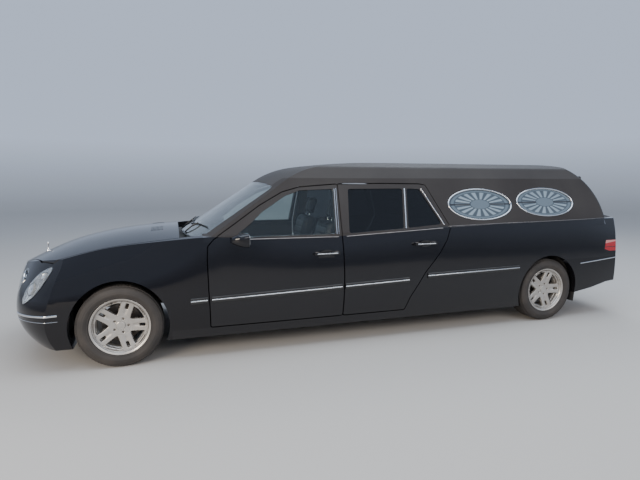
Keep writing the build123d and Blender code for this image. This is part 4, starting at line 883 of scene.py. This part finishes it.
for word, first, last, pivot in WIPERS:
    blade = []
    for share in shares(16):
        x = station(first[0] + (last[0] - first[0]) * share)
        y = first[1] + (last[1] - first[1]) * share
        hit = skin_at(("windshield",), (x, y, 2), (0, 0, -1))
        if hit:
            blade.append(hit[0] + hit[1] * 0.008)
    top = (station(pivot[0]), pivot[1], 2)
    foot = skin_at(("windshield", "firewall", "hood", "fender_left"), top, (0, 0, -1))[0]
    middle = blade[len(blade) // 2] + Vector((0, 0, 0.010))
    elbow = (foot + middle) / 2 + Vector((0, 0, 0.016))
    arm = [foot + Vector((0, 0, 0.004)), foot + Vector((0.01, 0, 0.022)), elbow, middle]
    rows_of(f"wiper_{word}", [blade, arm], 0.014, 0.006, moulding_black, "root")

# Road wheels: cast light-alloy, silver lacquer darkened to brown and dulled in random clouds. Five flat
# spokes, each split by a slot towards the rim, five deep bolt holes and a plain pressed cap.
SPOKES = 5
SPOKE_TURN = math.radians(71)
SPOKE_HALF = 0.0435
SLOT_HALF = 0.0165
SLOT_MIDDLE = 0.160
SLOT_REACH = 0.027
WINDOW_REACH = 0.191
BOLT_CIRCLE = 0.056
BOLT_HOLE = 0.0128
CAP_RADIUS = 0.034
HUB_RING = 0.076
VALLEY_HALF = 0.013
VALLEY_DEPTH = 0.006
FACE_REACH = 0.200
FACE_WALL = 0.006
FACE_EDGES = (
    # how far each row of a hole's rounded edge goes into the hole and drops
    (0.0020, 0.0008), (0.0022, 0.0024), (0.0012, 0.0050), (0.0012, 0.018),
)
RIM_SECTION = (
    # distance outward from the wheel's middle, radius
    (0.095, 0.2215), (0.0945, 0.2225), (0.089, 0.222), (0.087, 0.212), (0.082, 0.2035), (0.050, 0.2025),
    (0.036, 0.186), (-0.020, 0.182), (-0.040, 0.2000), (-0.087, 0.203), (-0.088, 0.2215), (-0.095, 0.2215),
    (-0.095, 0.196), (-0.044, 0.193), (-0.022, 0.175), (0.034, 0.178), (0.048, 0.194), (0.078, 0.1975),
    (0.092, 0.212),
)
CAP_SECTION = (
    # distance outward from the wheel's middle, radius
    (0.0500, 0.0345), (0.0560, 0.0340), (0.0585, 0.0325), (0.0600, 0.0290), (0.0595, 0.0275),
    (0.0610, 0.0180), (0.0615, 0.0),
)
IRON_TONES = (0.16, 0.145, 0.13), (0.075, 0.050, 0.036)
BOLT_TONES = (0.05, 0.047, 0.044), (0.03, 0.024, 0.02)
BRAKE_SECTION = (
    # distance outward from the wheel's middle, radius
    (-0.046, 0.074), (-0.046, 0.150), (-0.053, 0.150), (-0.053, 0.143), (-0.059, 0.143), (-0.059, 0.150),
    (-0.066, 0.150), (-0.066, 0.032), (0.048, 0.032), (0.048, 0.074),
)


def dished(radius):
    """How far out the wheel's face stands at a radius."""
    return 0.053 + 0.017 * min(1.0, radius / FACE_REACH) ** 2


def open_hole(shape, middle, measure):
    """Cuts a hole where a measure is under 1, and moves its rim to where the measure is 1."""
    waste = [face for face in shape.faces if measure(face.calc_center_median().xy) < 1]
    bmesh.ops.delete(shape, geom=waste, context="FACES")
    rim = [corner for corner in shape.verts if corner.is_boundary and measure(corner.co.xy) < 4]
    rim = [corner for corner in rim if (corner.co.xy - middle).length < 0.09]
    for settling in range(5):
        for corner in rim:
            spoke = corner.co.xy - middle
            near, far = 0.2, 2.5
            for halving in range(20):
                share = (near + far) / 2
                if measure(middle + spoke * share) < 1:
                    near = share
                else:
                    far = share
            corner.co.xy = middle + spoke * near
        if settling < 4:
            evened = {}
            for corner in rim:
                ends = [line.other_vert(corner).co for line in corner.link_edges if line.is_boundary]
                evened[corner] = sum(ends, Vector()) / len(ends)
            for corner in rim:
                corner.co = corner.co.lerp(evened[corner], 0.6)


def ray_from_hub(turn, reach):
    return Vector((math.cos(turn), math.sin(turn))) * reach


def wheel_face():
    """The spoked face, built flat about Z: a grid of rings with its holes cut, then dished and rounded."""
    shape = bmesh.new()
    rings = [(0.0, CAP_RADIUS + (FACE_REACH - CAP_RADIUS) * step / 44) for step in range(45)]
    revolve(shape, rings, 300, closed=False)
    for index in range(SPOKES):
        turn = SPOKE_TURN + math.tau * index / SPOKES
        spoke = ray_from_hub(turn, 1)
        following = ray_from_hub(turn + math.tau / SPOKES, 1)
        between = ray_from_hub(turn + math.pi / SPOKES, 1)

        def window(point):
            """Below 1 between two spokes and inside the rim, with round corners."""
            if point.dot(between) < 0.8 * point.length:
                return 9
            first = SPOKE_HALF / (abs(point.cross(spoke)) + 1e-6)
            second = SPOKE_HALF / (abs(point.cross(following)) + 1e-6)
            return first ** 5 + second ** 5 + (point.length / WINDOW_REACH) ** 20

        def slot(point):
            """Below 1 in the slot of a spoke."""
            away = abs(point.cross(spoke)) / SLOT_HALF
            up = abs(point.dot(spoke) - SLOT_MIDDLE) / SLOT_REACH
            return away ** 4 + up ** 4

        def bolt(point):
            """Below 1 in the hole of a wheel bolt."""
            return ((point - spoke * BOLT_CIRCLE).length / BOLT_HOLE) ** 4

        open_hole(shape, between * 0.150, window)
        open_hole(shape, spoke * SLOT_MIDDLE, slot)
        open_hole(shape, spoke * BOLT_CIRCLE, bolt)
    inner = [corner for corner in shape.verts if not corner.is_boundary]
    in_plane = {"use_axis_x": True, "use_axis_y": True, "use_axis_z": False}
    for settling in range(3):
        bmesh.ops.smooth_vert(shape, verts=inner, factor=0.5, **in_plane)
    for corner in shape.verts:
        radius = corner.co.xy.length
        turn = math.atan2(corner.co.y, corner.co.x) - SPOKE_TURN
        beside = radius * math.sin((turn + math.pi / SPOKES) % (math.tau / SPOKES) - math.pi / SPOKES)
        ring = math.exp(-((radius - HUB_RING) / 0.003) ** 2)
        valley = math.exp(-(beside / VALLEY_HALF) ** 2) / (1 + math.exp((0.092 - radius) / 0.006))
        corner.co.z = dished(radius) - 0.0015 * ring - VALLEY_DEPTH * valley * (radius < SLOT_MIDDLE)
    rim = []
    for line in shape.edges:
        reaches = [end.co.xy.length for end in line.verts]
        if line.is_boundary and CAP_RADIUS + 0.003 < min(reaches) and max(reaches) < FACE_REACH - 0.001:
            rim.append(line)
    inward = {}
    for line in rim:
        for end in line.verts:
            around = [face.calc_center_median() for face in end.link_faces]
            away = end.co - sum(around, Vector()) / len(around)
            inward[end] = away.xy.normalized()
    for into, drop in FACE_EDGES:
        made = bmesh.ops.extrude_edge_only(shape, edges=rim)["geom"]
        fresh = [part for part in made if isinstance(part, bmesh.types.BMVert)]
        pushed = {}
        for corner in fresh:
            old = next(line.other_vert(corner) for line in corner.link_edges if line.calc_length() < 1e-7)
            pushed[corner] = inward[old]
        for corner in fresh:
            corner.co.xy = corner.co.xy + pushed[corner] * into
            corner.co.z -= drop
        inward = pushed
        rim = [part for part in made if isinstance(part, bmesh.types.BMEdge) and part.is_boundary]
    bmesh.ops.recalc_face_normals(shape, faces=shape.faces)
    face_outward(shape)
    return shape


def face_outward(shape):
    """Turns a sheet's faces over where they look along -Z."""
    if sum(face.normal.z for face in shape.faces) < 0:
        bmesh.ops.reverse_faces(shape, faces=shape.faces)


def on_wheel(part, shape, wheel, material, sharp=35):
    """A part built about Z, outward up, turned into a wheel's place."""
    end, word, side = wheel
    low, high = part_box(f"tyre_{end}_{word}")
    turn = Matrix(((-side, 0, 0), (0, 0, side), (0, 1, 0))).to_4x4()
    bmesh.ops.transform(shape, matrix=Matrix.Translation((low + high) / 2) @ turn, verts=shape.verts)
    body = body_of(f"rim_{end}_{word}")
    return new_object(f"{part}_{end}_{word}", shape, material, body, sharp=sharp)


alloy, shader, where = finish_of("dusty_alloy")
cloud = where.noise(9.0, detail=6.0)
flake = where.noise(1800.0, detail=2.0)
brown_clouds = cloud.above(0.50, 0.16) * 0.35 + flake * 0.12
feed(shader, Base_Color=colour(where, (0.50, 0.48, 0.45)).mix((0.17, 0.125, 0.09, 1), brown_clouds))
feed(shader, Metallic=0.72 - brown_clouds * 0.6, Roughness=brown_clouds * 0.5 + 0.27, Coat_Weight=0.35, Coat_Roughness=0.12)
feed(shader, Normal=bump(where, flake, 0.08, 0.0004))
brake_iron = mottled("brake_iron", *IRON_TONES, 0.45, 40.0, depth=0.0006, metallic=0.8)
bolt_dark = mottled("bolt_dark", *BOLT_TONES, 0.5, 60.0, metallic=0.6)
pattern = wheel_face()
WHEELS = [(end, word, side) for end in ("front", "rear") for word, side in SIDES]
for wheel in WHEELS:
    rim_node = f"rim_{wheel[0]}_{wheel[1]}"
    spokes = on_wheel("wheel_spokes", pattern.copy(), wheel, alloy, sharp=40)
    wall = spokes.modifiers.new("casting", "SOLIDIFY")
    wall.thickness = FACE_WALL
    wall.offset = -1
    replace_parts(spokes, rim_node)

    barrel = bmesh.new()
    revolve(barrel, RIM_SECTION, 120)
    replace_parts(on_wheel("wheel_rim", barrel, wheel, alloy, sharp=40), rim_node)

    cap = bmesh.new()
    revolve(cap, CAP_SECTION, 64, closed=False)
    face_outward(cap)
    on_wheel("wheel_cap", cap, wheel, alloy)

    bolts = bmesh.new()
    head = {"cap_ends": True, "segments": 6, "radius1": 0.0088, "radius2": 0.0082, "depth": 0.014}
    for index in range(SPOKES):
        spot = ray_from_hub(SPOKE_TURN + math.tau * index / SPOKES, BOLT_CIRCLE)
        bmesh.ops.create_cone(bolts, matrix=Matrix.Translation((*spot, 0.030)), **head)
    on_wheel("wheel_bolts", bolts, wheel, bolt_dark)

    disc = bmesh.new()
    revolve(disc, BRAKE_SECTION, 96)
    on_wheel("brake_disc", disc, wheel, brake_iron)

    valve = bmesh.new()
    stem = {"cap_ends": True, "segments": 12, "radius1": 0.0045, "radius2": 0.0035, "depth": 0.030}
    spot = ray_from_hub(SPOKE_TURN + math.pi / SPOKES, WINDOW_REACH)
    bmesh.ops.create_cone(valve, matrix=Matrix.Translation((*spot, 0.070)), **stem)
    on_wheel("valve", valve, wheel, moulding_black)

# Tyres: black rubber grey with road dust, a raised rim guard and fine rings on the wall, and a tread of
# five block ribs.
TREAD_STEPS = 84
TREAD_FLOOR = 0.3155
TREAD_START = 0.3145
BLOCK_RISE = 0.0062
BLOCK_GAP = 0.0016
SHOULDER_RISE = 0.0022
TYRE_WALL = (
    # distance from the wheel's middle, radius
    (0.0865, 0.2035), (0.0865, 0.2215), (0.0930, 0.2245), (0.0990, 0.2290), (0.1015, 0.2310),
    (0.1030, 0.2345), (0.1020, 0.2370), (0.1050, 0.2420), (0.1095, 0.2520), (0.1120, 0.2620),
    (0.1122, 0.2680), (0.1108, 0.2700), (0.1112, 0.2725), (0.1100, 0.2790), (0.1082, 0.2860),
    (0.1068, 0.2875), (0.1064, 0.2895), (0.1030, 0.2965), (0.0985, 0.3035), (0.0955, 0.3080),
    (0.0905, 0.3120),
)
TYRE_INSIDE = (
    # distance from the wheel's middle, radius
    (-0.080, 0.2115), (-0.100, 0.2500), (-0.096, 0.2900), (-0.060, 0.3060), (0.060, 0.3060), (0.096, 0.2900),
    (0.100, 0.2500), (0.080, 0.2115),
)
RIBS = (
    # inner and outer reach of each block rib from the tyre's middle
    (0.000, 0.013), (0.019, 0.046), (0.053, 0.0805),
)
rubber, shader, where = finish_of("tyre_rubber")
cloud = where.noise(7.0, detail=6.0)
fine = where.noise(420.0, detail=3.0)
film = cloud * 0.7 + fine * 0.3
dusty = colour(where, (0.014, 0.013, 0.013)).mix((0.105, 0.086, 0.072, 1), film * film * 0.95)
feed(shader, Base_Color=dusty)
feed(shader, Roughness=film * 0.2 + 0.68, Normal=bump(where, fine, 0.25, 0.0005))


def tyre_shape():
    """A tyre about Z: walls and tread floor spun from one section, tread blocks raised from its faces."""
    tread = []
    for low, high in reversed(RIBS):
        tread += [(high, TREAD_FLOOR), (low, TREAD_FLOOR)]
    half = list(TYRE_WALL) + [row for row in tread if row[0] > 0]
    other_half = [(-reach, radius) for reach, radius in reversed(half)]
    shape = bmesh.new()
    revolve(shape, half + other_half + list(TYRE_INSIDE), TREAD_STEPS)
    blocks = []
    shoulder = []
    for face in shape.faces:
        middle = face.calc_center_median()
        radius, reach = middle.xy.length, abs(middle.z)
        on_rib = any(low <= reach <= high for low, high in RIBS)
        if radius > TREAD_START and face.normal.z ** 2 < 0.2 and on_rib:
            blocks.append(face)
        elif 0.3045 < radius < TREAD_START and reach > 0.0885:
            shoulder.append(face)
    bmesh.ops.inset_individual(shape, faces=blocks, thickness=BLOCK_GAP, depth=BLOCK_RISE)
    bmesh.ops.inset_individual(shape, faces=shoulder, thickness=BLOCK_GAP, depth=SHOULDER_RISE)
    return shape


for wheel in WHEELS:
    tyre = on_wheel("tyre_tread", tyre_shape(), wheel, rubber, sharp=50)
    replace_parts(tyre, f"tyre_{wheel[0]}_{wheel[1]}")

# Underside: welded steel floor under grey-black sealant, cast and pressed running gear, moulded liners
# in the wheelhouses and a rubber flap behind each rear wheel.
FLAP_GAP = 0.040
FLAP_WALL = 0.006
FLAP_HALF = 0.100
FLAP_LEVELS = (0.175, 0.420)
FLAP_RAKE = 0.10
SEALANT_TONES = (0.022, 0.021, 0.020), (0.060, 0.050, 0.042)
sealant = mottled("floor_sealant", *SEALANT_TONES, 0.72, 3.0, depth=0.002, grain=90.0)
LINER_TONES = (0.012, 0.012, 0.012), (0.035, 0.031, 0.028)
liner = mottled("wheelhouse_liner", *LINER_TONES, 0.66, 5.0, depth=0.0015, grain=120.0)
GEAR_TONES = (0.050, 0.050, 0.052), (0.095, 0.070, 0.052)
gear_steel = mottled("gear_steel", *GEAR_TONES, 0.48, 14.0, depth=0.0006, metallic=0.75)
CASTING_TONES = (0.085, 0.082, 0.080), (0.120, 0.075, 0.048)
casting = mottled("cast_iron", *CASTING_TONES, 0.62, 18.0, depth=0.0012, grain=240.0, metallic=0.7)
cover(sealant, "floor_pan", "firewall")
cover(liner, "front_liners")
cover(gear_steel, "front_subframe", "driveline")
cover(casting, "rear_axle", "knuckle_left", "knuckle_right", "engine_block")

pipe, shader, where = finish_of("exhaust_steel")
along, across, height = where.axes()
cloud = where.noise(12.0, detail=5.0)
hot = 1.0 - along.above(0.2, 1.6)
tone = colour(where, (0.16, 0.15, 0.14)).mix((0.13, 0.085, 0.05, 1), hot * 0.7)
tone = tone.mix((0.05, 0.038, 0.03, 1), cloud * 0.6)
feed(shader, Base_Color=tone, Roughness=cloud * 0.35 + 0.22, Metallic=0.9)
cover(pipe, "exhaust")

for word, side in SIDES:
    rear_low, rear_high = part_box(f"tyre_rear_{word}")
    middle = (rear_low + rear_high) / 2
    flap_low = (rear_high.x + FLAP_GAP, middle.y - FLAP_HALF, FLAP_LEVELS[0])
    flap_high = (rear_high.x + FLAP_GAP + FLAP_WALL, middle.y + FLAP_HALF, FLAP_LEVELS[1])
    flap = plate(flap_low, flap_high, 0.012, 0, edge=0.0015)
    for corner in flap.verts:
        corner.co.x += (corner.co.z - FLAP_LEVELS[0]) * FLAP_RAKE
    new_object(f"mud_flap_{word}", flap, liner, "root")

# Linings: grey headlining cloth under the roof, and grained trim on the insides of the doors and the
# body's sides, told from the outside by the way that the faces look.
HEADLINING = (0.30, 0.28, 0.25)
TRIM_GREY = (0.070, 0.064, 0.060)
for finish in ("roof_vinyl", "lacquer_below_vinyl", "lacquer_below_frame"):
    material = bpy.data.materials[finish]
    shader = material.node_tree.nodes["Principled BSDF"]
    base_link = shader.inputs["Base Color"].links[0]
    rough_link = shader.inputs["Roughness"].links[0]
    tone = Socket(material.node_tree, base_link.from_socket)
    rough = Socket(material.node_tree, rough_link.from_socket)
    facing = tone.node("ShaderNodeTexCoord", output="Normal")
    if finish == "roof_vinyl":
        inside = 1.0 - facing.node("ShaderNodeSeparateXYZ", (facing,), output=2).above(-0.25, 0.05)
        cloth = HEADLINING
    else:
        where = tone.node("ShaderNodeTexCoord", output="Object")
        sideways = where.node("ShaderNodeSeparateXYZ", (where,), output=1)
        outward = facing.node("ShaderNodeSeparateXYZ", (facing,), output=1)
        inside = 1.0 - (sideways * outward).above(-0.25, 0.05)
        cloth = TRIM_GREY
    feed(shader, Base_Color=tone.mix((*cloth, 1), inside), Roughness=rough * (1.0 - inside) + inside * 0.8)
    if shader.inputs["Coat Weight"].links:
        coat = Socket(material.node_tree, shader.inputs["Coat Weight"].links[0].from_socket)
        feed(shader, Coat_Weight=coat * (1.0 - inside))

# Seats: two front seats with head restraints and a rear bench, black leather over foam on dark bases.
# Each pad is blown up a little inside its cover, then its sewn channels are pulled in.
FRONT_SEAT = 1.090
REAR_SEAT = 2.080
DRIVER_REACH = 0.385
UPRIGHT = math.radians(16.7 - 90)
PAD_VOXEL = 0.012
PAD_SLACK = 0.012
BLOW_FRAMES = 20
CHANNEL_HALF = 0.006
CHANNEL_DEPTH = 0.007
SITTINGS = (
    # name, distance of the seat behind the front axle, middle reach, width, node, channels
    ("front_left", FRONT_SEAT, -DRIVER_REACH, 0.470, "front_seats", 6),
    ("front_right", FRONT_SEAT, DRIVER_REACH, 0.470, "front_seats", 6),
    ("rear_left", REAR_SEAT, -0.310, 0.618, "rear_seat", 6),
    ("rear_right", REAR_SEAT, 0.310, 0.618, "rear_seat", 6),
)
leather, shader, where = finish_of("black_leather")
grain = where.node("ShaderNodeTexVoronoi", {"Vector": where, "Scale": 330.0}, feature="DISTANCE_TO_EDGE")
crease = where.noise(16.0, detail=6.0)
worn = crease.above(0.52, 0.15) * 0.6
feed(shader, Base_Color=colour(where, (0.016, 0.015, 0.015)).mix((0.050, 0.046, 0.043, 1), worn))
feed(shader, Roughness=crease * 0.2 + 0.32, Normal=bump(where, grain + crease * 0.8, 0.35, 0.0012))


def freeze(made):
    """Makes an object's modifiers part of its mesh."""
    final = made.evaluated_get(bpy.context.evaluated_depsgraph_get())
    mesh = bpy.data.meshes.new_from_object(final)
    made.modifiers.clear()
    made.data = mesh
    return mesh


def stuffed(name, size, place, lean, node, channels, travel=0.024):
    """A pad: a rounded box, blown up as cloth, with channels sewn across its middle on top."""
    half = [value / 2 - PAD_SLACK for value in size]
    shape = plate([-value for value in half], half, 0.035, 2, edge=0.030)
    made = new_object(name, shape, leather, "root", sharp=80)
    remesh = made.modifiers.new("cells", "REMESH")
    remesh.mode = "VOXEL"
    remesh.voxel_size = PAD_VOXEL
    remesh.use_smooth_shade = True
    mesh = freeze(made)
    start = [corner.co.copy() for corner in mesh.vertices]
    cloth = made.modifiers.new("cloth", "CLOTH")
    cloth.settings.use_pressure = True
    cloth.settings.uniform_pressure_force = 4
    cloth.settings.effector_weights.gravity = 0
    cloth.point_cache.frame_end = BLOW_FRAMES
    for moment in range(1, BLOW_FRAMES + 1):
        bpy.context.scene.frame_set(moment)
    blown = made.evaluated_get(bpy.context.evaluated_depsgraph_get()).data
    ends = [corner.co.copy() for corner in blown.vertices]
    made.modifiers.clear()
    for corner, first, last in zip(mesh.vertices, start, ends):
        step = last - first
        corner.co = first + step * min(1.0, travel / max(step.length, 1e-6))
    bpy.context.scene.frame_set(1)
    finer = made.modifiers.new("finer", "SUBSURF")
    finer.levels = 1
    finer.render_levels = 1
    mesh = freeze(made)
    border = size[1] / 2 - 0.085
    for corner in mesh.vertices:
        x, y, z = corner.co
        if z < size[2] * 0.2:
            continue
        pull = math.exp(-((abs(y) - border) / CHANNEL_HALF) ** 2)
        if abs(y) < border:
            for index in range(channels):
                line = size[0] * (0.78 * (index + 0.5) / channels - 0.39)
                pull = max(pull, math.exp(-((x - line) / CHANNEL_HALF) ** 2))
        corner.co.z -= CHANNEL_DEPTH * pull
    mesh.transform(Matrix.Translation(place) @ Matrix.Rotation(lean, 4, "Y"))
    for polygon in mesh.polygons:
        polygon.use_smooth = True
    mesh.materials.clear()
    mesh.materials.append(leather)
    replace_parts(made, node)


for name, start, reach, width, node, channels in SITTINGS:
    seat_place = Vector((station(start + 0.262), reach, 0.442))
    stuffed(f"seat_cushion_{name}", (0.520, width, 0.140), seat_place, 0.0, node, channels)
    back_place = Vector((station(start + 0.702), reach, 0.790))
    stuffed(f"seat_back_{name}", (0.640, width, 0.118), back_place, UPRIGHT, node, channels + 1)
    base_half = width / 2 - 0.02
    base_low = (station(start + 0.06), reach - base_half, 0.217)
    base_high = (station(start + 0.50), reach + base_half, 0.392)
    base = plate(base_low, base_high, 0.03, 2, edge=0.008)
    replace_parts(new_object(f"seat_base_{name}", base, liner, "root"), node)
for word, side in SIDES:
    head_place = Vector((station(FRONT_SEAT + 0.822), side * DRIVER_REACH, 1.178))
    head_size = (0.205, 0.240, 0.100)
    stuffed(f"head_restraint_{word}", head_size, head_place, UPRIGHT, "front_seats", 0, travel=0.012)
    for index, offset in enumerate((-0.055, 0.055)):
        foot = Vector((station(FRONT_SEAT + 0.765), side * DRIVER_REACH + offset, 1.030))
        top = Vector((station(FRONT_SEAT + 0.812), side * DRIVER_REACH + offset, 1.130))
        post = strip(f"head_post_{word}_{index}", [foot, top], 0.012, 0.012, chrome, "root")
        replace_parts(post, "front_seats")

# Dashboard: soft black moulding with a dark veneer strip, vents, a glazed instrument face and a centre
# panel with two knobs. The steering wheel is wrapped in leather.
DASH_FRONT = 1.25
VENT_REACHES = (-0.62, -0.10, 0.10, 0.62)
VENT_HEIGHT = 0.868
KNOB_REACHES = (-0.07, 0.07)
KNOB_HEIGHT = 0.735
dash, shader, where = finish_of("dash_moulding")
pebble = where.node("ShaderNodeTexVoronoi", {"Vector": where, "Scale": 500.0}, feature="SMOOTH_F1")
cloud = where.noise(4.0, detail=5.0)
feed(shader, Base_Color=colour(where, (0.020, 0.020, 0.021)).mix((0.036, 0.034, 0.033, 1), cloud))
feed(shader, Roughness=cloud * 0.15 + 0.45, Normal=bump(where, pebble, 0.3, 0.0006))
cover(dash, "dashboard")
cover(leather, "steering_wheel")

veneer, shader, where = finish_of("dark_veneer")
rings = where.noise(9.0, detail=6.0, stretch=(1.0, 0.25, 6.0))
figure = (rings * 60.0).maths("SINE") * 0.5 + 0.5
feed(shader, Base_Color=colour(where, (0.060, 0.022, 0.009)).mix((0.020, 0.008, 0.004, 1), figure * 0.8))
feed(shader, Roughness=figure * 0.08 + 0.15, Coat_Weight=1.0, Coat_Roughness=0.03)
dial_black = mottled("dial_glass", (0.006, 0.006, 0.007), (0.010, 0.010, 0.012), 0.08, 20.0, spread=0.03)


def dash_at(reach, level):
    """The dashboard's face, met from behind."""
    return skin_at(("dashboard",), (station(DASH_FRONT), reach, level), (-1, 0, 0))[0]


def on_dash(name, reach, level, width, tall, depth, material, radius=0.006):
    """A panel let into the face of the dashboard."""
    spot = dash_at(reach, level)
    low = (spot.x - 0.012, reach - width / 2, level - tall / 2)
    high = (spot.x + depth, reach + width / 2, level + tall / 2)
    new_object(name, plate(low, high, radius, 0, edge=0.0015), material, "root")


for index, reach in enumerate(VENT_REACHES):
    frame_name, core_name = f"dash_vent_{index}", f"dash_vent_core_{index}"
    on_dash(frame_name, reach, VENT_HEIGHT, 0.120, 0.052, 0.006, chrome, radius=0.012)
    on_dash(core_name, reach, VENT_HEIGHT, 0.110, 0.042, 0.0085, moulding_black, radius=0.009)
on_dash("dash_veneer_left", -0.40, 0.800, 0.46, 0.040, 0.004, veneer)
on_dash("dash_panel", 0.0, 0.770, 0.20, 0.110, 0.005, dial_black)
on_dash("instrument_face", DRIVER_REACH, 0.858, 0.300, 0.080, 0.005, dial_black, radius=0.02)
for index, reach in enumerate(KNOB_REACHES):
    middle = dash_at(reach, KNOB_HEIGHT) + Vector((0.012, 0, 0))
    turn = Matrix.Translation(middle) @ Matrix.Rotation(math.radians(90), 4, "Y")
    knob = bmesh.new()
    turned = {"cap_ends": True, "segments": 32, "radius1": 0.019, "radius2": 0.017, "depth": 0.024}
    bmesh.ops.create_cone(knob, matrix=turn, **turned)
    corners = [line for line in knob.edges if line.calc_face_angle(0) > 1]
    bmesh.ops.bevel(knob, geom=corners, offset=0.002, segments=2, **BEVEL)
    new_object(f"dash_knob_{index}", knob, chrome, "root")

# Coffin deck: a brushed stainless floor with two polished guide rails for the coffin, screwed down.
RAIL_REACH = 0.27
RAIL_HEIGHT = 0.653
brushed, shader, where = finish_of("brushed_deck")
stroke = where.noise(60.0, detail=4.0, stretch=(0.03, 6.0, 6.0))
scuff = where.noise(3.0, detail=6.0)
feed(shader, Base_Color=colour(where, (0.50, 0.50, 0.50)).mix((0.34, 0.34, 0.35, 1), stroke), Metallic=0.95)
feed(shader, Roughness=stroke * 0.22 + scuff * 0.15 + 0.12, Normal=bump(where, stroke, 0.15, 0.0004))
cover(brushed, "casket_deck")
deck_low, deck_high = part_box("casket_deck")
for word, side in SIDES:
    ends = [Vector((x, side * RAIL_REACH, RAIL_HEIGHT)) for x in (deck_low.x + 0.10, deck_high.x - 0.08)]
    strip(f"deck_rail_{word}", ends, 0.030, 0.014, chrome, "root")

low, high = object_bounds()
